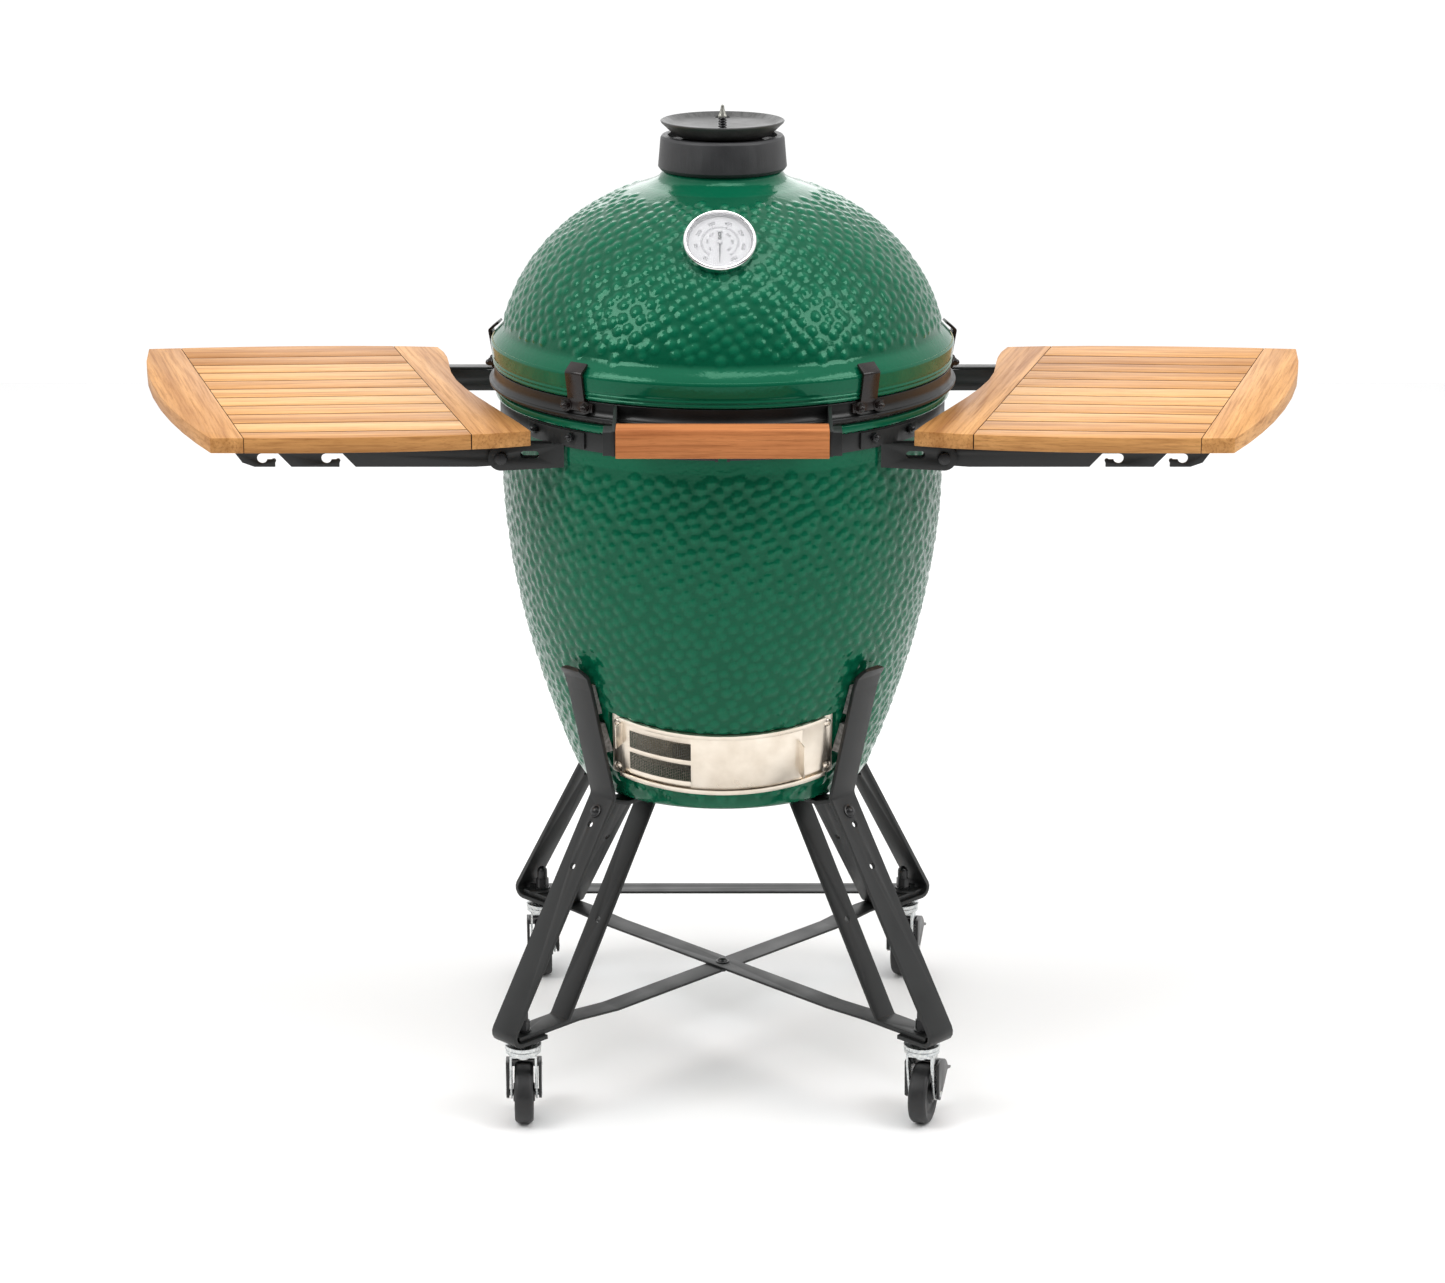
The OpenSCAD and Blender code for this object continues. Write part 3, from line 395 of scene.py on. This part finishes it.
def coil(start, end, radius, wire, turns, stepsPerTurn=20, sides=8):
    # a closed wire wound about the line from start to end
    bm = bmesh.new()
    line = end - start
    across = Matrix.Translation((radius, 0, 0)) @ Matrix.Rotation(math.pi / 2, 4, "X")
    made = bmesh.ops.create_circle(bm, cap_ends=False, radius=wire, segments=sides, matrix=across)
    rim = list({e for v in made["verts"] for e in v.link_edges})
    steps = int(turns * stepsPerTurn)
    bmesh.ops.spin(bm, geom=made["verts"] + rim, cent=(0, 0, 0), axis=(0, 0, 1), angle=turns * 2 * math.pi,
                   steps=steps, dvec=(0, 0, line.length / steps), use_merge=False)
    bmesh.ops.remove_doubles(bm, verts=bm.verts, dist=mergeGap)
    bmesh.ops.holes_fill(bm, edges=[e for e in bm.edges if e.is_boundary], sides=sides + 1)
    bmesh.ops.recalc_face_normals(bm, faces=bm.faces)
    turn = line.to_track_quat("Z", "Y").to_matrix().to_4x4()
    bmesh.ops.transform(bm, matrix=Matrix.Translation(start) @ turn, verts=bm.verts)
    return bm


# Glazed shells with raised spots

spotLook = {"spacing": 15.2, "radius": 7.2, "height": 1.7, "jitter": 0.24, "sizes": (0.85, 1.12), "seed": 5,
            "flatTop": 2.6, "softFoot": 1.6, "plainShade": 0.45}


def scatterSpots(outline):
    # spreads points evenly over the turned surface, each a golden angle after the last
    lengths = [0.0]
    for (r0, z0), (r1, z1) in zip(outline, outline[1:]):
        lengths.append(lengths[-1] + math.pi * (r0 + r1) * math.hypot(r1 - r0, z1 - z0))
    count = int(lengths[-1] / (spotLook["spacing"] ** 2 * 0.866))
    chance = random.Random(spotLook["seed"])
    wobble = spotLook["spacing"] * spotLook["jitter"]
    spots = []
    piece = 0
    for i in range(count):
        target = (i + 0.5) / count * lengths[-1]
        while lengths[piece + 1] < target:
            piece += 1
        t = (target - lengths[piece]) / (lengths[piece + 1] - lengths[piece])
        r = outline[piece][0] + (outline[piece + 1][0] - outline[piece][0]) * t
        z = outline[piece][1] + (outline[piece + 1][1] - outline[piece][1]) * t
        turn = i * math.pi * (3 - math.sqrt(5)) + chance.uniform(-wobble, wobble) / r
        size = chance.uniform(*spotLook["sizes"])
        height = z + chance.uniform(-wobble, wobble)
        spots.append((Vector((r * math.cos(turn), r * math.sin(turn), height)) * mm, size))
    return spots


def raiseSpots(bm, spots):
    tree = KDTree(len(spots))
    for i, (place, size) in enumerate(spots):
        tree.insert(place, i)
    tree.balance()
    # relief is the spot height; the glaze colour also uses it for painted shade in the hollows and painted
    # light on the crests
    relief = bm.verts.layers.float.new("relief")
    lifts = []
    lowest = min(place.z for place, size in spots) - 0.004
    highest = max(place.z for place, size in spots) + 0.004
    for vert in bm.verts:
        place, i, distance = tree.find(vert.co)
        reach = spotLook["radius"] * spots[i][1] * mm
        inside = max(0.0, 1 - (distance / reach) ** spotLook["flatTop"]) ** spotLook["softFoot"]
        vert[relief] = inside if lowest < vert.co.z < highest else spotLook["plainShade"]
        lifts.append(vert.normal * inside * spots[i][1] * spotLook["height"] * mm)
    for vert, lift in zip(bm.verts, lifts):
        vert.co += lift


def clayInside(bm, isInside):
    for face in bm.faces:
        face.material_index = 1 if isInside(face) else 0


domeShape = {"steps": 672, "rings": 104, "centre": 903.4, "width": 269, "height": 225.3, "low": 946,
             "high": 1115.5, "spotsTo": 1107, "insideWidth": 245, "insideHeight": 201}


def domeZone():
    # the spotted part of the outline, with rings the same distance apart along the surface
    centre, width, height = (domeShape[key] for key in ("centre", "width", "height"))
    fromAngle = math.asin((domeShape["low"] - centre) / height)
    toAngle = math.asin((domeShape["high"] - centre) / height)
    points = []
    for i in range(domeShape["rings"] + 1):
        a = fromAngle + (toAngle - fromAngle) * i / domeShape["rings"]
        points.append((width * math.cos(a), centre + height * math.sin(a)))
    return points


def makeDome():
    rim = roundedOutline([(243, 877.8, 0), (272.6, 877.8, 0.6), (272.6, 899.5, 0), (276.6, 900.1, 0.8),
                          (277.9, 902.3, 0.9), (276.6, 904.6, 0.7), (278.5, 907, 0.9), (277.3, 909.4, 0.8),
                          (278.3, 912, 0.8), (280, 926.8, 1.2), (278.6, 930.6, 1.6)])[1:]
    flare = [(278.6 - 14.2 * t - 0.9 * math.sin(math.pi * t), 931 + 14.5 * t) for t in (0.25, 0.5, 0.75)]
    neck = roundedOutline([(domeZone()[-1][0], domeShape["high"], 0), (76.5, 1122, 6), (71.5, 1129.5, 4),
                           (68, 1132.5, 2), (68, 1149, 1), (50, 1149, 0)])[1:]
    inner = [(50, 1101.4)]
    for i in range(14):
        a = math.radians(78 * (13 - i) / 13)
        inner.append((domeShape["insideWidth"] * math.cos(a),
                      domeShape["centre"] + domeShape["insideHeight"] * math.sin(a)))
    inner.append((243, 879))
    outline = rim + flare + domeZone() + neck + inner
    bm = lathe(outline, domeShape["steps"], closed=True)
    bm.normal_update()
    zone = [p for p in domeZone() if domeShape["low"] + 3 < p[1] < domeShape["spotsTo"]]
    raiseSpots(bm, scatterSpots(zone))
    clayInside(bm, lambda face: face.normal.dot(Vector(face.calc_center_median()) - Vector((0, 0, 0.9))) < 0
               and face.calc_center_median().z > 0.879)
    return makePiece("dome_glazed", bm, bodyOf["dome_shell"], "green_glaze", ["dome_shell"], 50, "fire_clay")


baseShape = {"steps": 560, "ringStep": 2.9, "low": 398, "high": 819, "belly": 760, "drop": 647,
             "width": 266.5, "wall": 24, "throat": 238.5, "taper": 1.724, "fullness": 0.833}


def baseRadius(z):
    drop = max(0.0, baseShape["belly"] - z) / baseShape["drop"]
    return baseShape["width"] * (1 - drop ** baseShape["taper"]) ** baseShape["fullness"]


def baseZone():
    points = [(baseRadius(baseShape["low"]), baseShape["low"])]
    while points[-1][1] < baseShape["high"]:
        r, z = points[-1]
        slope = (baseRadius(z + 0.5) - baseRadius(z)) / 0.5
        z += baseShape["ringStep"] / math.hypot(1, slope)
        points.append((baseRadius(z), z))
    return points


# inner and outer radius, low and high, from and to in degrees, and steps of the two cuts for the draft door
draftLook = {"height": 0.522, "tilt": 19.5, "seat": (213.2, 262, -45, 45, -38.5, 38.5, 60),
             "opening": (140, 230, -33, 33, -33, 33, 50)}
draftPlace = Matrix.Translation((0, 0, draftLook["height"])) @ Matrix.Rotation(
    math.radians(draftLook["tilt"]), 4, "X")


def ringSector(rIn, rOut, zLow, zHigh, fromTurn, toTurn, steps):
    # a solid slice of a ring about the tilted axis of the draft door; turns are degrees from the front
    bm = bmesh.new()
    first = Matrix.Rotation(math.radians(fromTurn - 90), 3, "Z")
    corners = [(rIn, zLow), (rOut, zLow), (rOut, zHigh), (rIn, zHigh)]
    face = bm.faces.new([bm.verts.new(first @ Vector((r * mm, 0, z * mm))) for r, z in corners])
    bmesh.ops.spin(bm, geom=[face] + list(face.verts) + list(face.edges), cent=(0, 0, 0), axis=(0, 0, 1),
                   angle=math.radians(toTurn - fromTurn), steps=steps, dvec=(0, 0, 0), use_merge=False)
    bmesh.ops.recalc_face_normals(bm, faces=bm.faces)
    bmesh.ops.transform(bm, matrix=draftPlace, verts=bm.verts)
    return bm


def cutAway(piece, cutterMesh):
    cutter = bpy.data.objects.new("cutter", cutterMesh)
    scene.collection.objects.link(cutter)
    cut = piece.modifiers.new("cut", "BOOLEAN")
    cut.object = cutter
    cut.operation = "DIFFERENCE"
    cut.solver = "EXACT"
    bpy.context.view_layer.update()
    result = bpy.data.meshes.new_from_object(piece.evaluated_get(bpy.context.evaluated_depsgraph_get()))
    piece.modifiers.clear()
    piece.data = result
    bpy.data.objects.remove(cutter)


def makeBase():
    corner = [math.radians(a) for a in range(-90, -13, 13)]
    foot = [(0, 380), (150, 380)] + [(162 + 18 * math.cos(a), 398 + 18 * math.sin(a)) for a in corner]
    top = roundedOutline([(266.5, 825, 0), (266.5, 860, 1.5), (271.5, 861, 1), (275, 863.5, 1.4),
                          (275, 870.5, 1.2), (272.5, 872, 0.8), (baseShape["throat"], 872, 2)])
    inner = []
    for i in range(24):
        z = 862 - (862 - 412) * i / 23
        inner.append((min(baseRadius(z) - baseShape["wall"], baseShape["throat"]), z))
    outline = foot + baseZone() + top + inner + [(140, 406), (0, 406)]
    bm = lathe(outline, baseShape["steps"])
    bm.normal_update()
    zone = [p for p in baseZone() if p[1] < baseShape["high"] - 5]
    raiseSpots(bm, scatterSpots(zone))
    clayInside(bm, lambda face: math.hypot(*face.calc_center_median().xy) <
               baseRadius(face.calc_center_median().z / mm) * mm - 0.012
               and face.calc_center_median().z > 0.4)
    piece = makePiece("base_glazed", bm, bodyOf["base_shell"], "green_glaze", ["base_shell"], 50, "fire_clay")
    for cutName in ("seat", "opening"):
        cutterBm = ringSector(*draftLook[cutName])
        cutterMesh = bpy.data.meshes.new("cutter")
        cutterBm.to_mesh(cutterMesh)
        cutterBm.free()
        cutAway(piece, cutterMesh)
    return piece


makeDome()
makeBase()
print("glazed shells made")


# Metal bands round the rims

def makeBands():
    lidBand = roundedOutline([(273, 898.6, 0.5), (276.3, 898.6, 0.8), (276.3, 887, 4), (279, 882.4, 2.5),
                              (281, 881.8, 0.5), (281.6, 880.9, 0.4), (282.4, 880.6, 0.4),
                              (282.4, 877.9, 0.5), (275.6, 877.9, 1), (273, 884.4, 1)])
    band = lathe(lidBand, 300, closed=True)
    makePiece("lid_band_flared", band, bodyOf["lid_band"], "black_coat", ["lid_band"], 50,
              finish="black_gloss")


makeBands()


# Woven wire in the two windows of the screen

meshLook = {"radius": 215.9, "wire": 0.32, "lift": 0.26, "pitch": 2.3,
            "windows": [(-29.5, -3.5), (2.5, 28.5)], "turns": (-31.5, -9.5)}


def makeScreenMesh():
    bm = bmesh.new()
    fromTurn, toTurn = meshLook["turns"]
    arc = math.radians(toTurn - fromTurn)
    columns = int(arc * meshLook["radius"] / meshLook["pitch"])
    for low, high in meshLook["windows"]:
        rows = int((high - low) / meshLook["pitch"])
        for i in range(rows + 1):
            z = low + (high - low) * i / rows
            outward = (meshLook["radius"] + meshLook["lift"]) * mm
            place = Matrix.Rotation(math.radians(fromTurn - 90), 4, "Z") @ Matrix.Translation(
                (outward, 0, z * mm)) @ Matrix.Rotation(math.pi / 2, 4, "X")
            made = bmesh.ops.create_circle(bm, cap_ends=True, radius=meshLook["wire"] * mm, segments=4,
                                           matrix=place)
            faces = list({f for v in made["verts"] for f in v.link_faces})
            edges = list({e for v in made["verts"] for e in v.link_edges})
            bmesh.ops.spin(bm, geom=faces + edges + made["verts"], cent=(0, 0, 0), axis=(0, 0, 1), angle=arc,
                           steps=8, dvec=(0, 0, 0), use_merge=False)
        for i in range(columns + 1):
            turn = math.radians(fromTurn - 90) + arc * i / columns
            place = Matrix.Rotation(turn, 4, "Z") @ Matrix.Translation(
                ((meshLook["radius"] - meshLook["lift"]) * mm, 0, (low + high) / 2 * mm))
            bmesh.ops.create_cone(bm, cap_ends=True, segments=4, radius1=meshLook["wire"] * mm,
                                  radius2=meshLook["wire"] * mm, depth=(high - low) * mm, matrix=place)
    bmesh.ops.recalc_face_normals(bm, faces=bm.faces)
    bmesh.ops.transform(bm, matrix=draftPlace, verts=bm.verts)
    makePiece("screen_wires", bm, bodyOf["screen_mesh"], "mesh", ["screen_mesh"])


makeScreenMesh()
print("draft door mesh woven")


# Thermometer face and needle

# each tick is its place from the middle, length and width
gaugeLook = {"longTick": (21.6, 4.6, 0.8), "shortTick": (21.2, 2.8, 0.55),
             "centre": (-3, -190, 1080), "tilt": 44.2, "face": -6.98,
             "numberRadius": 27.5, "innerRadius": 14.2, "first": -144, "last": 144, "innerInset": 14,
             "numberSize": 6.0, "innerSize": 4.4, "boldness": 0.018}
gaugePlace = Matrix.Translation([c * mm for c in gaugeLook["centre"]]) @ Matrix.Rotation(
    math.radians(gaugeLook["tilt"]), 4, "X")


def onDial(turn, radius, height=0.0):
    # a place on the dial: turn is degrees clockwise from the top
    return gaugePlace @ Matrix.Translation((0, 0, (gaugeLook["face"] + height) * mm)) @ Matrix.Rotation(
        -math.radians(turn), 4, "Z") @ Matrix.Translation((0, radius * mm, 0))


def addPrint(bm, words, size, place):
    curve = bpy.data.curves.new("print", "FONT")
    curve.body = words
    curve.size = size * mm
    curve.extrude = 0.00003
    curve.align_x = "CENTER"
    curve.align_y = "CENTER"
    curve.resolution_u = 3
    curve.offset = gaugeLook["boldness"] * size * mm
    text = bpy.data.objects.new("print", curve)
    scene.collection.objects.link(text)
    bpy.context.view_layer.update()
    mesh = bpy.data.meshes.new_from_object(text.evaluated_get(bpy.context.evaluated_depsgraph_get()))
    mesh.transform(place)
    bm.from_mesh(mesh)
    bpy.data.objects.remove(text)


def addTick(bm, turn, radius, length, width):
    place = onDial(turn, radius) @ Matrix.Diagonal((width * mm, length * mm, 0.00006, 1))
    bmesh.ops.create_cube(bm, size=1, matrix=place)


def makeDial():
    bm = bmesh.new()
    sweep = gaugeLook["last"] - gaugeLook["first"]
    for i in range(71):
        turn = gaugeLook["first"] + sweep * i / 70
        addTick(bm, turn, *gaugeLook["longTick" if i % 10 == 0 else "shortTick"])
    for i in range(8):
        place = onDial(gaugeLook["first"] + sweep * i / 7, gaugeLook["numberRadius"])
        addPrint(bm, str(50 + 100 * i), gaugeLook["numberSize"], place)
    inset = gaugeLook["innerInset"]
    for i in range(7):
        place = onDial(gaugeLook["first"] + inset + (sweep - 2 * inset) * i / 6, gaugeLook["innerRadius"])
        addPrint(bm, str(50 * (i + 1)), gaugeLook["innerSize"], place)
    bmesh.ops.recalc_face_normals(bm, faces=bm.faces)
    makePiece("dial_print", bm, bodyOf["gauge_dial"], "needle_black")
    rim = lathe([(36.2, 0), (36.8, 0), (36.8, 0.06), (36.2, 0.06)], 96, closed=True)
    bmesh.ops.transform(rim, matrix=onDial(0, 0), verts=rim.verts)
    makePiece("dial_rim_line", rim, bodyOf["gauge_dial"], "clip_steel")


def makeNeedle():
    bm = bmesh.new()
    shapes = [[(-1.1, 0), (-0.25, -29), (0.25, -29), (1.1, 0)],
              [(-1.9, 3.2), (1.9, 3.2), (1.9, 14), (-1.9, 14)],
              [(-0.8, 0), (0.8, 0), (0.8, 3.4), (-0.8, 3.4)]]
    for shape in shapes:
        face = bm.faces.new([bm.verts.new((x * mm, y * mm, -0.0056)) for x, y in shape])
        lifted = bmesh.ops.extrude_face_region(bm, geom=[face])
        top = [part for part in lifted["geom"] if isinstance(part, bmesh.types.BMVert)]
        bmesh.ops.translate(bm, vec=(0, 0, 0.0005), verts=top)
    bmesh.ops.recalc_face_normals(bm, faces=bm.faces)
    bmesh.ops.transform(bm, matrix=gaugePlace, verts=bm.verts)
    makePiece("needle_blade", bm, bodyOf["gauge_needle"], "needle_black", ["gauge_needle"])
    hub = lathe(roundedOutline([(1.5, -5.9, 0), (2.7, -5.9, 0), (2.7, -4.8, 0.3), (1.5, -4.6, 0.2)]), 32,
                closed=True)
    bmesh.ops.transform(hub, matrix=gaugePlace, verts=hub.verts)
    makePiece("needle_hub", hub, bodyOf["gauge_needle"], "dial_white")


makeDial()
makeNeedle()
print("thermometer printed")


# Wire handle on the vent disc

ventHandleLook = {"coilRadius": 3.9, "wire": 1.3, "turns": 4.5, "coilTop": 15.5, "height": 30}


def makeVentHandle():
    low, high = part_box("vent_handle")
    centre = Vector(((low.x + high.x) / 2, (low.y + high.y) / 2, 0))
    bottom, coilTop = low.z / mm, low.z / mm + ventHandleLook["coilTop"]
    post = lathe([(0, bottom), (2.4, bottom), (2.4, coilTop), (0, coilTop)], 24)
    bmesh.ops.translate(post, vec=centre, verts=post.verts)
    makePiece("vent_post", post, bodyOf["vent_handle"], "black_fastener", ["vent_handle"])
    spring = coil(centre + Vector((0, 0, low.z + 0.0015)), centre + Vector((0, 0, coilTop * mm - 0.0005)),
                  ventHandleLook["coilRadius"] * mm, ventHandleLook["wire"] * mm, ventHandleLook["turns"])
    makePiece("vent_spring", spring, bodyOf["vent_handle"], "black_fastener")
    z, top = coilTop - 0.6, bottom + ventHandleLook["height"]
    knob = lathe(roundedOutline([(0, z, 0), (4.8, z, 0.6), (5.2, z + 1.4, 0.8), (3.8, z + 5, 1.2),
                                 (2.6, z + 9, 1.4), (1.8, top - 0.8, 0.6), (0, top, 0)]), 32)
    bmesh.ops.scale(knob, vec=(1, 0.72, 1), verts=knob.verts)
    bmesh.ops.translate(knob, vec=centre, verts=knob.verts)
    makePiece("vent_knob", knob, bodyOf["vent_handle"], "handle_metal")


makeVentHandle()


# Springs on the hinge pin

# in metres, from the middle of the pin outwards
hingeSpringLook = {"from": 0.0075, "to": 0.0435, "radius": 0.0082, "wire": 0.0017, "turns": 10,
                   "legAt": 0.0095, "legBack": 0.0002}


def makeHingeSprings():
    pinLow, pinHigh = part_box("hinge_pin")
    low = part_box("hinge_springs")[0]
    axisY = (pinLow.y + pinHigh.y) / 2
    axisZ = (pinLow.z + pinHigh.z) / 2
    for name, side in (("left", -1), ("right", 1)):
        start = Vector((side * hingeSpringLook["from"], axisY, axisZ))
        end = Vector((side * hingeSpringLook["to"], axisY, axisZ))
        bm = coil(start, end, hingeSpringLook["radius"], hingeSpringLook["wire"],
                  hingeSpringLook["turns"], 22)
        leg = lathe([(0, 0), (1.7, 0), (1.7, 40), (0, 40)], 10)
        legPlace = (side * hingeSpringLook["legAt"], axisY + hingeSpringLook["legBack"], low.z)
        bmesh.ops.translate(leg, vec=legPlace, verts=leg.verts)
        mesh = bpy.data.meshes.new("leg")
        leg.to_mesh(mesh)
        leg.free()
        bm.from_mesh(mesh)
        makePiece("hinge_spring_" + name, bm, bodyOf["hinge_springs"], slotOf["hinge_springs"],
                  ["hinge_springs"])


makeHingeSprings()
print("springs wound")


# The rest of the frame gets softened edges, and the boards their grain

edgeWidths = {"black_coat": 0.7, "shelf_wood": 0.8, "grip_wood": 1.2, "cap_iron": 1.2, "vent_iron": 0.6,
              "fire_clay": 1.5, "cast_iron": 0.8, "chrome": 0.3, "stainless": 0.15, "clip_steel": 0.5}
plainEdge = 0.3
keptAsIs = ["gauge_lens", "gauge_dial", "base_gasket", "lid_gasket"]
boardLean = {"left_shelf_boards": -3.4, "right_shelf_boards": 3.4}
done = {node for piece in bpy.data.objects for node in piece.get("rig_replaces", [])}
for node in sorted(frame["nodes"]):
    if node in done:
        continue
    slot = slotOf[node]
    if node in keptAsIs:
        frame["nodes"][node].data.materials.clear()
        frame["nodes"][node].data.materials.append(finishes[slot])
        continue
    softened = cadCopy(node)
    bevelSharp(softened, edgeWidths.get(slot, plainEdge))
    if slot in woodLooks:
        paintGrain(softened, len(node), boardLean.get(node, 0))
        # the shelf boards also get painted shadow on the walls between their slats
        if node in boardLean:
            paintSlatShadows(softened, -boardLean[node])
    makePiece(node + "_finished", softened, bodyOf[node], slot, [node])
print("frame pieces finished")


# Floor, camera and lights

def makeStage():
    bm = bmesh.new()
    bmesh.ops.create_grid(bm, x_segments=1, y_segments=1, size=4)
    mesh = bpy.data.meshes.new("floor")
    bm.to_mesh(mesh)
    bm.free()
    floor = bpy.data.objects.new("floor", mesh)
    scene.collection.objects.link(floor)
    mesh.materials.append(newFinish("pale_floor", {"Roughness": 0.9, "Base Color": srgb(242, 242, 242)})[0])


cameraLook = {"place": (0, -4.152, 1.774), "pitch": 73.48, "lens": 86.9}


def makeCamera():
    camera = bpy.data.objects.new("camera", bpy.data.cameras.new("camera"))
    scene.collection.objects.link(camera)
    camera.location = cameraLook["place"]
    camera.rotation_euler = (math.radians(cameraLook["pitch"]), 0, 0)
    camera.data.lens = cameraLook["lens"]
    camera.data.sensor_width = 36
    camera.data.clip_end = 100
    scene.camera = camera


# place, what it looks at, size and power of each soft light
lightLooks = {
    "keyLight": {"place": (-2.6, -1.6, 3.2), "size": 1.7, "power": 58},
    "fillLight": {"place": (2.7, -1.4, 3.0), "size": 1.7, "power": 50},
    "topLight": {"place": (0.2, -0.4, 3.8), "size": 1.6, "power": 34},
    "backLight": {"place": (0, 3.4, 2.4), "size": 2.4, "power": 26},
}


def makeLights():
    target = Vector((0, 0, 0.7))
    for name, look in lightLooks.items():
        light = bpy.data.lights.new(name, "AREA")
        light.size = look["size"]
        light.energy = look["power"]
        holder = bpy.data.objects.new(name, light)
        scene.collection.objects.link(holder)
        holder.location = look["place"]
        holder.rotation_euler = (target - Vector(look["place"])).to_track_quat("-Z", "Y").to_euler()
    world = bpy.data.worlds.new("studio")
    scene.world = world
    world.use_nodes = True
    tree = world.node_tree
    direction = addNode(tree, "TexCoord").outputs["Generated"]
    split = addNode(tree, "SeparateXYZ", {0: direction})
    height = addNode(tree, "Math", {0: split.outputs["Z"], 1: 0.9}, operation="MULTIPLY").outputs[0]
    rise = addNode(tree, "Math", {0: split.outputs["Y"], 1: height}, operation="ADD").outputs[0]
    strength = addNode(tree, "MapRange", {"Value": rise, "From Min": -0.6, "From Max": 0.3,
                                          "To Min": 0.12, "To Max": 1.05})
    backdrop = tree.nodes["Background"]
    backdrop.inputs["Color"].default_value = (1, 1, 1, 1)
    tree.links.new(strength.outputs["Result"], backdrop.inputs["Strength"])


makeStage()
makeCamera()
makeLights()
scene.view_settings.view_transform = "Standard"
print("stage set")
